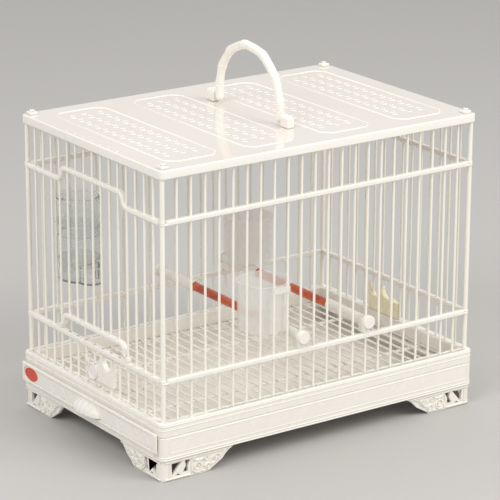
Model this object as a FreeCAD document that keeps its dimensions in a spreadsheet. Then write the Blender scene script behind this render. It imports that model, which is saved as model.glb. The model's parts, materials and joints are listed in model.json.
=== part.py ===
"""Small bird cage with a lift door, a pull-out drawer, slide latches and a folding carry handle.

Frame: +X runs along the long side, the door and the drawer are on the -X wall, +Z is up,
and the origin is at the middle of the footprint, on the surface that the feet stand on.
"""
import FreeCAD, Part
import math
import os
import re
import Sketcher

# Driving sizes in millimetres.
SIZES = {
    # Enclosure, between the axes of the corner posts
    "cage_length": 390,
    "cage_depth": 260,
    "bar_radius": 1.3,
    "post_radius": 2.5,
    "rail_width": 6.4,
    "rail_height": 5.2,
    # Heights, stacked upwards from the floor
    "foot_height": 22.2,
    "base_height": 25.4,
    "rim_height": 15.4,
    "lower_rail_rise": 42.4,
    "rail_spacing": 166.5,
    "lid_rise": 45.7,
    "lid_height": 9.2,
    # Lid
    "lid_overhang": 4.4,
    "lid_corner_radius": 5,
    "lid_skin": 3,
    "lid_band": 8,
    "lid_socket_depth": 5,
    "panel_side_margin": 7.4,
    "panel_end_margin": 21.4,
    "panel_gap": 32,
    "panel_corner": 10,
    "panel_rib_width": 1.6,
    "panel_rib_height": 0.6,
    # Corner caps on the lid
    "cap_inset": 4.2,
    "cap_width": 9.4,
    "cap_height": 3,
    "cap_corner_radius": 1.6,
    "cap_button_radius": 3.2,
    "cap_button_height": 1.6,
    "cap_peg_radius": 1.6,
    "cap_peg_depth": 2.2,
    # Carry handle
    "handle_half_span": 55.2,
    "handle_straight": 12,
    "handle_radius": 4.4,
    "handle_node_radius": 5,
    "handle_node_length": 2.2,
    "pivot_rise": 7,
    "pin_radius": 1.5,
    "pin_seat": 8,
    "ear_length": 9,
    "ear_thickness": 14,
    "ear_height": 13,
    "ear_gap": 1.5,
    # Lift door
    "arch_rise": 14,
    "arch_bend_radius": 8.5,
    "arch_margin": 2.5,
    "door_socket_depth": 3,
    # Base, rim and grate
    "base_overhang": 7.4,
    "base_corner_radius": 8,
    "rim_width": 12.4,
    "rim_socket_depth": 8,
    "base_wall": 3,
    "base_floor": 2.5,
    "runner_width": 25,
    "ledge_inset": 18.4,
    "ledge_drop": 2,
    "grate_bar_height": 1.8,
    "grate_bar_width": 5,
    "grate_slat_height": 2,
    "grate_slat_width": 2.4,
    "grate_pitch": 13,
    # Feet
    "foot_inset": 2,
    "foot_long_reach_low": 60,
    "foot_long_reach_high": 90,
    "foot_side_reach_low": 55,
    "foot_side_reach_high": 82,
    "foot_wall": 4,
    "foot_toe_radius": 4,
    "foot_corner_radius": 6,
    # Drawer
    "tray_margin": 14.4,
    "tray_height": 16,
    "tray_wall": 2,
    "front_margin": 4.8,
    "front_height": 22,
    "front_thickness": 3.4,
    "front_drop": 8.2,
    "front_border": 3.5,
    "front_recess": 1,
    "pull_half_width": 26,
    "pull_height": 12,
    "pull_reach": 8,
    "pull_wall": 1.8,
    "pull_lift": 5,
    "badge_half_width": 13,
    "badge_half_height": 7,
    "badge_thickness": 1.2,
    "badge_end_gap": 5.1,
    # Slide latches
    "latch_prong_radius": 1.5,
    "latch_prong_depth": 6,
    "latch_thickness": 6,
    "latch_travel": 7,
    "latch_end_margin": 5.5,
    "latch_height": 30,
    "latch_shoulder_height": 18,
    "latch_horn_width": 5.2,
    "latch_tip_width": 2.2,
    "latch_saddle_height": 16,
    "latch_dish_width": 18.6,
    "latch_dish_height": 19,
    "latch_dish_offset": 15,
    "latch_dish_thickness": 2,
    "latch_dish_hollow": 1,
    "latch_dish_border": 2.2,
    # Perches
    "perch_seat_rise": 13.2,
    "perch_radius": 4.75,
    "perch_wood_length": 131,
    "perch_socket_depth": 8,
    "perch_sleeve_radius": 6.2,
    "perch_neck_radius": 5,
    "perch_knob_radius": 7,
    "perch_knob_length": 6,
    "perch_foot_width": 7,
    "perch_foot_length": 12,
    # Cups
    "cup_lift": 19.4,
    "cup_height": 52,
    "cup_low_radius": 26.5,
    "cup_high_radius": 28,
    "cup_lip": 1.4,
    "cup_lip_height": 1.6,
    "cup_wall": 1.4,
    "hook_neck_width": 9,
    "hook_neck_height": 4,
    "hook_plate_width": 20,
    "hook_plate_height": 6,
    "hook_plate_thickness": 2,
    # Seed tube
    "tube_lift": 41,
    "tube_height": 90,
    "tube_stand_off": 8,
    "tube_radius": 21.8,
    "tube_wall": 1.4,
    "tube_lip": 3,
    "tube_lip_height": 2.5,
    "outlet_width": 14,
    "outlet_height": 9,
    "dish_height": 24,
    "dish_wall": 1.8,
    "trough_radius": 13,
    "trough_height": 18,
    "holder_lift": 48,
    "holder_height": 10,
    "holder_wall": 2.2,
    # Clearances
    "fixed_fit": 0.05,
    "slide_fit": 0.1,
    "free_gap": 0.3,
    "cut_overrun": 1,
}

FRONT_SPACES = 23
SIDE_SPACES = 16
DOOR_BAR_PAIR_COUNT = 3
LID_PANELS = 4
GRATE_CROSS_BARS = 5
LATCH_BARS_FROM_MIDDLE = 1
HANDLE_NODE_ANGLES = (4, 26, 52, 82, 116, 148, 176)
PERCH_BARS = (10, 15)
FRONT_CUP_SPACE = 8.5
REAR_CUP_SPACE = 15.5
TUBE_SPACE = 2.5

# Places and sizes that follow from the driving sizes.
PLACES = {
    "base_length": "cage_length + 2 * base_overhang",
    "base_depth": "cage_depth + 2 * base_overhang",
    "lid_length": "cage_length + 2 * lid_overhang",
    "lid_depth": "cage_depth + 2 * lid_overhang",
    "centre_x": "(free_gap + front_thickness + pull_reach) / 2",
    "left_x": "centre_x - cage_length / 2",
    "right_x": "centre_x + cage_length / 2",
    "front_y": "-cage_depth / 2",
    "rear_y": "cage_depth / 2",
    "long_pitch": f"cage_length / {FRONT_SPACES}",
    "side_pitch": f"cage_depth / {SIDE_SPACES}",
    "rim_low": "foot_height + base_height",
    "rim_top": "rim_low + rim_height",
    "lower_rail_z": "rim_top + lower_rail_rise",
    "lower_rail_top": "lower_rail_z + rail_height / 2",
    "upper_rail_z": "lower_rail_z + rail_spacing",
    "lid_low": "upper_rail_z + lid_rise",
    "lid_top": "lid_low + lid_height",
    "bar_low": "rim_top - rim_socket_depth",
    "bar_high": "lid_low + lid_socket_depth",
    "panel_pitch": f"(lid_length - 2 * panel_side_margin) / {LID_PANELS}",
    "panel_width": "panel_pitch - panel_gap",
    "panel_length": "lid_depth - 2 * panel_end_margin",
    "pivot_z": "lid_top + pivot_rise",
    "ear_inner_y": "handle_half_span + handle_radius + ear_gap",
    "door_strip_z": "lower_rail_top + free_gap + rail_height / 2",
    "door_crown_z": "door_strip_z + arch_rise",
    "door_bar_low": "door_crown_z + rail_height / 2 - door_socket_depth",
    "base_left_x": "centre_x - base_length / 2",
    "base_right_x": "centre_x + base_length / 2",
    "tray_low": "foot_height + base_floor + free_gap",
    "tray_width": "base_depth - 2 * tray_margin",
    "tray_space_width": "tray_width + 2 * free_gap",
    "tray_space_height": "tray_height + 2 * free_gap",
    "grate_low": "rim_low - ledge_drop",
    "front_back_x": "base_left_x - free_gap",
    "front_face_x": "front_back_x - front_thickness",
    "front_low": "foot_height + front_drop",
    "front_width": "base_depth - 2 * front_margin",
    "badge_y": "front_width / 2 - badge_end_gap - badge_half_width",
    "badge_z": "front_low + front_height / 2",
    "latch_low": "rim_top + free_gap",
    "latch_horn_reach": "side_pitch + latch_end_margin",
    "latch_shoulder_reach": "2 * side_pitch - bar_radius - free_gap",
    "perch_z": "lower_rail_top + perch_seat_rise",
    "cup_low": "lower_rail_top + cup_lift",
    "cup_reach": "bar_radius + free_gap + cup_high_radius + cup_lip",
    "tube_low": "lower_rail_top + tube_lift",
    "holder_outer_radius": "tube_radius + fixed_fit + holder_wall",
    "tube_reach": "bar_radius + free_gap + tube_radius + dish_wall + fixed_fit + tube_stand_off",
}

document = FreeCAD.newDocument("bird_cage")

sheet = document.addObject("Spreadsheet::Sheet", "Sizes")
for row, (alias, value) in enumerate(SIZES.items(), start=1):
    sheet.set(f"A{row}", alias)
    sheet.set(f"B{row}", str(value))
    sheet.setAlias(f"B{row}", alias)
document.recompute()


def link(text):
    """Return an expression in which every named size points at its cell or place."""
    def owner(match):
        word = match.group(0)
        if word in SIZES:
            return f"Sizes.{word}"
        if word in PLACES:
            return f"Places.{word}"
        return word
    return re.sub(r"[a-z][a-z_]*[a-z]", owner, str(text))


places = document.addObject("App::VarSet", "Places")
for place_name, place_text in PLACES.items():
    places.addProperty("App::PropertyFloat", place_name)
    places.setExpression(place_name, link(place_text))
document.recompute()


def number(name):
    """Return the present value of a named size or place."""
    if name in SIZES:
        return float(sheet.get(name))
    return float(getattr(places, name))


def bind(item, **texts):
    """Tie properties of an object to expressions."""
    for key, text in texts.items():
        item.setExpression(key, link(text))
    return item


def place(item, x=0, y=0, z=0, rotation=None):
    """Put an object's own origin at a point given as expressions."""
    if rotation is not None:
        item.Placement = FreeCAD.Placement(FreeCAD.Vector(), rotation)
    for axis, text in zip("xyz", (x, y, z)):
        item.setExpression(f"Placement.Base.{axis}", link(text))
    return item


ALONG_X = FreeCAD.Rotation(FreeCAD.Vector(0, 1, 0), 90)
ALONG_Y = FreeCAD.Rotation(FreeCAD.Vector(1, 0, 0), -90)
# Turns a flat shape so that its own X lies along Y and its own Y points up.
FACING_X = FreeCAD.Rotation(FreeCAD.Vector(0, 1, 0), FreeCAD.Vector(0, 0, 1), FreeCAD.Vector(1, 0, 0), "XYZ")


def box(name, x, y, z, length, width, height):
    """Box centred on x and y that stands on z."""
    item = document.addObject("Part::Box", name)
    bind(item, Length=length, Width=width, Height=height)
    return place(item, f"{x} - ({length}) / 2", f"{y} - ({width}) / 2", z)


def cylinder(name, x, y, z, radius, height, rotation=None):
    """Cylinder that starts at a point and runs up, or along the rotated axis."""
    item = document.addObject("Part::Cylinder", name)
    bind(item, Radius=radius, Height=height)
    return place(item, x, y, z, rotation)


def cone(name, x, y, z, radius, far_radius, height, rotation=None):
    """Cone or taper that starts at a point and runs up, or along the rotated axis."""
    item = document.addObject("Part::Cone", name)
    bind(item, Radius1=radius, Radius2=far_radius, Height=height)
    return place(item, x, y, z, rotation)


def ellipsoid(name, x, y, z, half_x, half_y, half_z):
    """Whole ellipsoid with its half axes along X, Y and Z."""
    item = document.addObject("Part::Ellipsoid", name)
    item.Angle1 = -90
    item.Angle2 = 90
    item.Angle3 = 360
    bind(item, Radius1=half_z, Radius2=half_x, Radius3=half_y)
    return place(item, x, y, z)


def fuse(name, *items):
    item = document.addObject("Part::MultiFuse", name)
    item.Shapes = list(items)
    item.Refine = True
    return item


def group(name, items):
    item = document.addObject("Part::Compound", name)
    item.Links = list(items)
    return item


def cut(name, base, *tools):
    """Cut the tools out of the base, one after the other."""
    result = base
    for step, tool in enumerate(tools):
        last = step == len(tools) - 1
        item = document.addObject("Part::Cut", name if last else f"{name}_cut_{step}")
        item.Base = result
        item.Tool = tool
        result = item
    return result


def common(name, first, second):
    item = document.addObject("Part::Common", name)
    item.Base = first
    item.Tool = second
    return item


def round_upright_edges(name, block, radius):
    """Round the vertical edges of a box."""
    document.recompute()
    size = number(radius)
    item = document.addObject("Part::Fillet", name)
    item.Base = block
    edges = enumerate(block.Shape.Edges, start=1)
    item.Edges = [(index, size, size) for index, edge in edges if is_upright(edge)]
    return item


def is_upright(edge):
    direction = edge.tangentAt(edge.FirstParameter)
    return abs(direction.z) > abs(direction.x) + abs(direction.y)


def solid_feature(name, shape, position=None):
    """Hold a shape worked out from the sheet's values where no ready feature fits."""
    item = document.addObject("Part::Feature", name)
    item.Shape = shape
    if position is not None:
        item.Placement = position
    return item


def arc(start, middle, end):
    return Part.Arc(start, middle, end).toShape()


def line(start, end):
    return Part.LineSegment(start, end).toShape()


def polygon_prism(points, direction):
    """Extrude a closed polygon."""
    wire = Part.makePolygon(list(points) + [points[0]])
    return Part.Face(wire).extrude(direction)


def revolved_body(name, profile, x, y, z):
    """Body turned about a vertical axis from a profile of (radius, height) expressions.

    The first and the last point lie on the axis or on one radius.
    """
    body = document.addObject("PartDesign::Body", name)
    sketch = body.newObject("Sketcher::SketchObject", f"{name}_profile")
    planes = {plane.Role: plane for plane in body.Origin.OriginFeatures}
    sketch.AttachmentSupport = [(planes["XZ_Plane"], "")]
    sketch.MapMode = "FlatFace"
    corners = [FreeCAD.Vector(first_guess(radius), first_guess(height), 0) for radius, height in profile]
    count = len(corners)
    for index, corner in enumerate(corners):
        sketch.addGeometry(Part.LineSegment(corner, corners[(index + 1) % count]), False)
    for index in range(count):
        following = (index + 1) % count
        sketch.addConstraint(Sketcher.Constraint("Coincident", index, 2, following, 1))
    for index, (radius, height) in enumerate(profile):
        for kind, text, axis in (("DistanceX", radius, -2), ("DistanceY", height, -1)):
            if text == "0":
                sketch.addConstraint(Sketcher.Constraint("PointOnObject", index, 1, axis))
                continue
            row = sketch.addConstraint(Sketcher.Constraint(kind, -1, 1, index, 1, first_guess(text)))
            sketch.setExpression(f"Constraints[{row}]", link(text))
    turn = body.newObject("PartDesign::Revolution", f"{name}_turn")
    turn.Profile = sketch
    turn.ReferenceAxis = (sketch, ["V_Axis"])
    turn.Angle = 360
    body.Tip = turn
    return place(body, x, y, z)


def first_guess(text):
    """Return the value of a sum of named sizes, to start a sketch near its solution."""
    total = 0.0
    for sign, name in re.findall(r"([+-]?)\s*([a-z_]+|0)", text):
        size = 0.0 if name == "0" else number(name)
        total += -size if sign == "-" else size
    return total


finished = []


def finish(item, label):
    """Mark an object as a piece of the cage under the name of its file."""
    item.Label = label
    finished.append(item)
    return item


# Bars of the four walls, and the drills that make their holes and sockets.
def long_x(index):
    return f"left_x + {index} * long_pitch"


def side_y(index):
    return f"front_y + {index} * side_pitch"


def bar_and_drill(name, x, y, low, high, radius="bar_radius", fit="fixed_fit"):
    bar = cylinder(name, x, y, low, radius, f"{high} - {low}")
    drill = cylinder(f"{name}_drill", x, y, low, f"{radius} + {fit}", f"{high} - {low}")
    return bar, drill


def wall(name, spots, low="bar_low", high="bar_high"):
    pairs = [bar_and_drill(f"{name}_{index}", x, y, low, high) for index, (x, y) in enumerate(spots)]
    bars = group(name, [bar for bar, drill in pairs])
    drills = group(f"{name}_drills", [drill for bar, drill in pairs])
    return bars, drills


middle_bar = SIDE_SPACES // 2
door_first = middle_bar - DOOR_BAR_PAIR_COUNT
door_last = middle_bar + DOOR_BAR_PAIR_COUNT
guide_bars = (door_first - 1, door_last + 1)
door_rows = range(door_first, door_last + 1)

front_spots = [(long_x(index), "front_y") for index in range(1, FRONT_SPACES)]
rear_spots = [(long_x(index), "rear_y") for index in range(1, FRONT_SPACES)]
right_spots = [("right_x", side_y(index)) for index in range(1, SIDE_SPACES)]
left_near_spots = [("left_x", side_y(index)) for index in range(1, door_first)]
left_far_spots = [("left_x", side_y(index)) for index in range(door_last + 1, SIDE_SPACES)]
stub_spots = [("left_x", side_y(index)) for index in door_rows]
post_spots = [(x, y) for x in ("left_x", "right_x") for y in ("front_y", "rear_y")]

front_bars, front_drills = wall("front_bars", front_spots)
rear_bars, rear_drills = wall("rear_bars", rear_spots)
right_bars, right_drills = wall("right_bars", right_spots)
left_near_bars, left_near_drills = wall("left_bars_near", left_near_spots)
left_far_bars, left_far_drills = wall("left_bars_far", left_far_spots)
stub_bars, stub_drills = wall("left_bars_under_door", stub_spots, high="lower_rail_top")

post_pairs = [
    bar_and_drill(f"post_{index}", x, y, "bar_low", "bar_high", "post_radius")
    for index, (x, y) in enumerate(post_spots)
]
corner_posts = group("corner_posts", [post for post, drill in post_pairs])
post_drills = group("post_drills", [drill for post, drill in post_pairs])

for bars, label in (
    (front_bars, "front_bars"),
    (rear_bars, "rear_bars"),
    (right_bars, "right_bars"),
    (left_near_bars, "left_bars_near"),
    (left_far_bars, "left_bars_far"),
    (stub_bars, "left_bars_under_door"),
    (corner_posts, "corner_posts"),
):
    finish(bars, label)


# Straight rails: the end eyes of two rails share each corner post, one above the other.
def long_rail(label, y, z, drills):
    solid_length = "cage_length - rail_width - 2 * free_gap"
    low = f"{z} - rail_height / 2"
    beam = box(f"{label}_beam", "centre_x", y, low, solid_length, "rail_width", "rail_height")
    tongue_height = "rail_height / 2 - slide_fit / 2"
    tongue = box(f"{label}_tongue", "centre_x", y, low, "cage_length", "rail_width", tongue_height)
    eyes = [
        cylinder(f"{label}_eye_{side}", x, y, low, "rail_width / 2", tongue_height)
        for side, x in enumerate(("left_x", "right_x"))
    ]
    blank = fuse(f"{label}_blank", beam, tongue, *eyes)
    finish(cut(f"{label}_rail", blank, drills, post_drills), label)


def side_rail(label, x, z, *drills):
    solid_width = "cage_depth - rail_width - 2 * free_gap"
    low = f"{z} - rail_height / 2"
    beam = box(f"{label}_beam", x, "0", low, "rail_width", solid_width, "rail_height")
    tongue_z = f"{z} + slide_fit / 2"
    tongue_height = "rail_height / 2 - slide_fit / 2"
    tongue = box(f"{label}_tongue", x, "0", tongue_z, "rail_width", "cage_depth", tongue_height)
    eyes = [
        cylinder(f"{label}_eye_{side}", x, y, tongue_z, "rail_width / 2", tongue_height)
        for side, y in enumerate(("front_y", "rear_y"))
    ]
    blank = fuse(f"{label}_blank", beam, tongue, *eyes)
    finish(cut(f"{label}_rail", blank, *drills, post_drills), label)


long_rail("lower_rail_front", "front_y", "lower_rail_z", front_drills)
long_rail("lower_rail_rear", "rear_y", "lower_rail_z", rear_drills)
long_rail("upper_rail_front", "front_y", "upper_rail_z", front_drills)
long_rail("upper_rail_rear", "rear_y", "upper_rail_z", rear_drills)
side_rail("lower_rail_right", "right_x", "lower_rail_z", right_drills)
side_rail("upper_rail_right", "right_x", "upper_rail_z", right_drills)
side_rail("lower_rail_left", "left_x", "lower_rail_z", left_near_drills, left_far_drills, stub_drills)


# Arched strips: the rail over the door, and the foot strip of the door itself.
def arch_edge(half_end, offset):
    """Edges of one side of an arched strip, on the strip's -X face, from -Y to +Y.

    The strip's middle line lies at height zero at both ends and at the rise in the middle.
    """
    bend = number("arch_bend_radius")
    rise = number("arch_rise")
    side_x = -number("rail_width") / 2
    turn = math.acos(1 - rise / (2 * bend))
    crown = DOOR_BAR_PAIR_COUNT * number("side_pitch") + number("arch_margin")
    foot = crown + 2 * bend * math.sin(turn)

    def on_low_bend(angle):
        reach = bend - offset
        return FreeCAD.Vector(side_x, -foot + reach * math.sin(angle), bend - reach * math.cos(angle))

    def on_high_bend(angle):
        reach = bend + offset
        return FreeCAD.Vector(side_x, -crown - reach * math.sin(angle), rise - bend + reach * math.cos(angle))

    def mirrored(point):
        return FreeCAD.Vector(point.x, -point.y, point.z)

    rising = []
    if half_end > foot:
        rising.append(line(FreeCAD.Vector(side_x, -half_end, offset), on_low_bend(0)))
        start_angle = 0
    else:
        start_angle = math.asin((foot - half_end) / (bend - offset))
    half_turn = (start_angle + turn) / 2
    rising.append(arc(on_low_bend(start_angle), on_low_bend(half_turn), on_low_bend(turn)))
    rising.append(arc(on_high_bend(turn), on_high_bend(turn / 2), on_high_bend(0)))
    top = line(on_high_bend(0), mirrored(on_high_bend(0)))
    falling = [arc(mirrored(on_high_bend(0)), mirrored(on_high_bend(turn / 2)), mirrored(on_high_bend(turn)))]
    falling.append(
        arc(mirrored(on_low_bend(turn)), mirrored(on_low_bend(half_turn)), mirrored(on_low_bend(start_angle)))
    )
    if half_end > foot:
        falling.append(line(mirrored(on_low_bend(0)), FreeCAD.Vector(side_x, half_end, offset)))
    return rising + [top] + falling


def arched_strip(half_end):
    """Arched strip of the rail's section, centred on X and Y."""
    half_height = number("rail_height") / 2
    above = arch_edge(half_end, half_height)
    below = arch_edge(half_end, -half_height)
    ends = [
        line(above[0].firstVertex(True).Point, below[0].firstVertex(True).Point),
        line(above[-1].lastVertex(True).Point, below[-1].lastVertex(True).Point),
    ]
    outline = Part.Wire(Part.__sortEdges__(above + below + ends))
    return Part.Face(outline).extrude(FreeCAD.Vector(number("rail_width"), 0, 0))


door_bars = [
    cylinder(f"door_bar_{row}", "left_x", side_y(row), "door_bar_low", "bar_radius", "lid_top - door_bar_low")
    for row in door_rows
]
door_bar_sockets = group("door_bar_sockets", [
    cylinder(f"door_socket_{row}", "left_x", side_y(row), "door_bar_low",
             "bar_radius + fixed_fit", "lid_top - door_bar_low")
    for row in door_rows
])
door_bar_guides = group("door_bar_guides", [
    cylinder(f"door_guide_{row}", "left_x", side_y(row), "upper_rail_z - rail_height",
             "bar_radius + free_gap", "lid_top + cut_overrun - upper_rail_z + rail_height")
    for row in door_rows
])
guide_bar_holes = group("guide_bar_holes", [
    cylinder(f"guide_bar_hole_{row}", "left_x", side_y(row), "lower_rail_z",
             "bar_radius + slide_fit", "upper_rail_z - lower_rail_z")
    for row in guide_bars
])

rail_over_door = solid_feature(
    "rail_over_door",
    arched_strip((number("cage_depth") - number("rail_width")) / 2 - number("free_gap")),
)
place(rail_over_door, "left_x", "0", "upper_rail_z")
over_door_tongues = []
for side, post_y in enumerate(("front_y", "rear_y")):
    inward = "+" if post_y == "front_y" else "-"
    over_door_tongues.append(
        box(f"over_door_tongue_{side}", "left_x", f"{post_y} {inward} rail_width / 2",
            "upper_rail_z + slide_fit / 2", "rail_width", "rail_width", "rail_height / 2 - slide_fit / 2")
    )
    over_door_tongues.append(
        cylinder(f"over_door_eye_{side}", "left_x", post_y, "upper_rail_z + slide_fit / 2",
                 "rail_width / 2", "rail_height / 2 - slide_fit / 2")
    )
over_door_blank = fuse("over_door_blank", rail_over_door, *over_door_tongues)
finish(
    cut("over_door_rail", over_door_blank, left_near_drills, left_far_drills, post_drills, door_bar_guides),
    "upper_rail_left",
)

door_strip_half = (DOOR_BAR_PAIR_COUNT + 1) * number("side_pitch")
door_strip_arch = solid_feature("door_strip_arch", arched_strip(door_strip_half))
place(door_strip_arch, "left_x", "0", "door_strip_z")
door_eyes = [
    cylinder(f"door_eye_{row}", "left_x", side_y(row), "door_strip_z - rail_height / 2", "rail_width / 2",
             "rail_height")
    for row in guide_bars
]
door_strip_blank = fuse("door_strip_blank", door_strip_arch, *door_eyes)
finish(cut("door_strip", door_strip_blank, door_bar_sockets, guide_bar_holes), "lift_door_strip")
finish(group("lift_door_bars", door_bars), "lift_door_bars")


# Lid: a shallow tray turned upside down, with raised panel frames on top.
lid_block = box("lid_block", "centre_x", "0", "lid_low", "lid_length", "lid_depth", "lid_height")
lid_outer = round_upright_edges("lid_outer", lid_block, "lid_corner_radius")
lid_hollow = box(
    "lid_hollow", "centre_x", "0", "lid_low - cut_overrun", "lid_length - 2 * lid_band",
    "lid_depth - 2 * lid_band", "lid_height - lid_skin + cut_overrun",
)


def panel_outline(shrink):
    """Prism with cut-off corners, as tall as the panel rib, centred on X and Y."""
    half_x = number("panel_width") / 2 - shrink
    half_y = number("panel_length") / 2 - shrink
    corner = number("panel_corner") - shrink * (2 - math.sqrt(2))
    sink = number("lid_skin") / 2
    quarter = [(half_x, half_y - corner), (half_x - corner, half_y)]
    quarter += [(-x, y) for x, y in reversed(quarter)]
    ring = quarter + [(-x, -y) for x, y in quarter]
    points = [FreeCAD.Vector(x, y, -sink) for x, y in ring]
    return polygon_prism(points, FreeCAD.Vector(0, 0, sink + number("panel_rib_height")))


panel_frame = panel_outline(0).cut(panel_outline(number("panel_rib_width")))
panel_frames = []
for panel in range(LID_PANELS):
    steps = panel - (LID_PANELS - 1) / 2
    frame = solid_feature(f"panel_frame_{panel}", panel_frame)
    panel_frames.append(place(frame, f"centre_x + {steps} * panel_pitch", "0", "lid_top"))

lid_shell = cut("lid_shell", lid_outer, lid_hollow)
lid_blank = fuse("lid_blank", lid_shell, *panel_frames)

# Corner caps: square blocks with a round button, pegged into the lid just inside the posts.
caps = []
cap_seats = []
for index, (post_x, post_y) in enumerate(post_spots):
    x = f"{post_x} {'+' if post_x == 'left_x' else '-'} cap_inset"
    y = f"{post_y} {'+' if post_y == 'front_y' else '-'} cap_inset"
    cap_block = box(f"cap_block_{index}", x, y, "lid_top", "cap_width", "cap_width", "cap_height")
    cap_square = round_upright_edges(f"cap_square_{index}", cap_block, "cap_corner_radius")
    cap_button = cylinder(f"cap_button_{index}", x, y, "lid_top + cap_height / 2", "cap_button_radius",
                          "cap_height / 2 + cap_button_height")
    cap_peg = cylinder(f"cap_peg_{index}", x, y, "lid_top - cap_peg_depth", "cap_peg_radius",
                       "cap_peg_depth + cap_height / 2")
    caps.append(fuse(f"cap_{index}", cap_square, cap_button, cap_peg))
    cap_seats.append(
        cylinder(f"cap_seat_{index}", x, y, "lid_top - cap_peg_depth - free_gap",
                 "cap_peg_radius + fixed_fit", "cap_peg_depth + free_gap + cut_overrun")
    )
finish(group("caps", caps), "post_caps")

finish(
    cut("lid", lid_blank, front_drills, rear_drills, right_drills, left_near_drills, left_far_drills,
        post_drills, door_bar_guides, group("cap_seats", cap_seats)),
    "roof_panel",
)


# Carry handle: a bamboo-like arch that folds about two pins in ears on the lid.
def handle_leg(side, sign):
    y = f"{sign} * handle_half_span"
    leg = cylinder(f"handle_leg_{side}", "centre_x", y, "pivot_z", "handle_radius", "handle_straight")
    heel = document.addObject("Part::Sphere", f"handle_heel_{side}")
    bind(heel, Radius="handle_radius")
    place(heel, "centre_x", y, "pivot_z")
    return leg, heel


handle_arch = document.addObject("Part::Torus", "handle_arch")
handle_arch.Angle3 = 180
bind(handle_arch, Radius1="handle_half_span", Radius2="handle_radius")
place(handle_arch, "centre_x", "0", "pivot_z + handle_straight", FACING_X)

handle_nodes = []
for index, angle in enumerate(HANDLE_NODE_ANGLES):
    along = FreeCAD.Rotation(FreeCAD.Vector(1, 0, 0), angle)
    knot = cylinder(
        f"handle_node_{index}", "centre_x",
        f"handle_half_span * cos({angle} deg) + handle_node_length / 2 * sin({angle} deg)",
        f"pivot_z + handle_straight + handle_half_span * sin({angle} deg)"
        f" - handle_node_length / 2 * cos({angle} deg)",
        "handle_node_radius", "handle_node_length", along,
    )
    handle_nodes.append(knot)

handle_pieces = [handle_arch, *handle_leg("near", "-1"), *handle_leg("far", "1"), *handle_nodes]
handle_blank = fuse("handle_blank", *handle_pieces)
pin_holes = group("handle_pin_holes", [
    cylinder(f"handle_pin_hole_{side}", "centre_x", f"{middle} - handle_radius - cut_overrun", "pivot_z",
             "pin_radius + slide_fit", "2 * handle_radius + 2 * cut_overrun", ALONG_Y)
    for side, middle in enumerate(("-handle_half_span", "handle_half_span"))
])
finish(cut("handle", handle_blank, pin_holes), "carry_handle")

pin_length = "ear_inner_y + pin_seat - handle_half_span + handle_radius"
pin_starts = ("-ear_inner_y - pin_seat", "handle_half_span - handle_radius")
pins = [
    cylinder(f"pivot_pin_{side}", "centre_x", start, "pivot_z", "pin_radius", pin_length, ALONG_Y)
    for side, start in enumerate(pin_starts)
]
finish(group("pivot_pins", pins), "handle_pivot_pins")
pin_seats = [
    cylinder(f"pivot_pin_seat_{side}", "centre_x", start, "pivot_z", "pin_radius + fixed_fit", pin_length,
             ALONG_Y)
    for side, start in enumerate(pin_starts)
]


def handle_ear(label, seat, sign, start):
    middle = f"{sign} * (ear_inner_y + ear_thickness / 2)"
    block = box(f"{label}_block", "centre_x", middle, "lid_top", "ear_length", "ear_thickness",
                "ear_height - ear_length / 2")
    crown = cylinder(f"{label}_crown", "centre_x", start, "lid_top + ear_height - ear_length / 2",
                     "ear_length / 2", "ear_thickness", ALONG_Y)
    finish(cut(f"{label}_ear", fuse(f"{label}_blank", block, crown), seat), label)


handle_ear("handle_bracket_front", pin_seats[0], "-1", "-ear_inner_y - ear_thickness")
handle_ear("handle_bracket_rear", pin_seats[1], "1", "ear_inner_y")


# Base: rim ring that holds the bars, body that holds the drawer, and the floor grate.
latch_spots = (
    ("left_x", side_y(middle_bar - LATCH_BARS_FROM_MIDDLE)),
    ("right_x", side_y(middle_bar + LATCH_BARS_FROM_MIDDLE)),
)
prong_steps = ("- side_pitch / 2", "+ side_pitch / 2")
rim_outer = round_upright_edges(
    "rim_outer",
    box("rim_block", "centre_x", "0", "rim_low", "base_length", "base_depth", "rim_height"),
    "base_corner_radius",
)
rim_hole = box("rim_hole", "centre_x", "0", "rim_low - cut_overrun", "base_length - 2 * rim_width",
               "base_depth - 2 * rim_width", "rim_height + 2 * cut_overrun")
prong_sockets = group("prong_sockets", [
    cylinder(f"prong_socket_{side}_{row}", x, f"{y} {step}", "rim_top - latch_prong_depth - free_gap",
             "latch_prong_radius + slide_fit", "latch_prong_depth + free_gap + cut_overrun")
    for side, (x, y) in enumerate(latch_spots) for row, step in enumerate(prong_steps)
])
finish(
    cut("rim", cut("rim_ring", rim_outer, rim_hole), front_drills, rear_drills, right_drills,
        left_near_drills, left_far_drills, stub_drills, post_drills, prong_sockets),
    "rim_frame",
)

base_outer = round_upright_edges(
    "base_outer",
    box("base_block", "centre_x", "0", "foot_height", "base_length", "base_depth", "base_height"),
    "base_corner_radius",
)
tray_space = box("tray_space", "centre_x - (base_wall + cut_overrun) / 2", "0", "foot_height + base_floor",
                 "base_length - base_wall + cut_overrun", "tray_space_width", "tray_space_height")
floor_window = box("floor_window", "centre_x", "0", "foot_height - cut_overrun",
                   "base_length - 2 * runner_width", "tray_space_width - 2 * runner_width",
                   "base_floor + 2 * cut_overrun")
deck_opening = box("deck_opening", "centre_x", "0", "foot_height + base_floor",
                   "base_length - 2 * ledge_inset", "base_depth - 2 * ledge_inset", "base_height")
grate_recess = box("grate_recess", "centre_x", "0", "grate_low", "base_length - 2 * rim_width",
                   "base_depth - 2 * rim_width", "ledge_drop + cut_overrun")
finish(cut("base", base_outer, tray_space, floor_window, deck_opening, grate_recess), "base_body")

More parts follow.
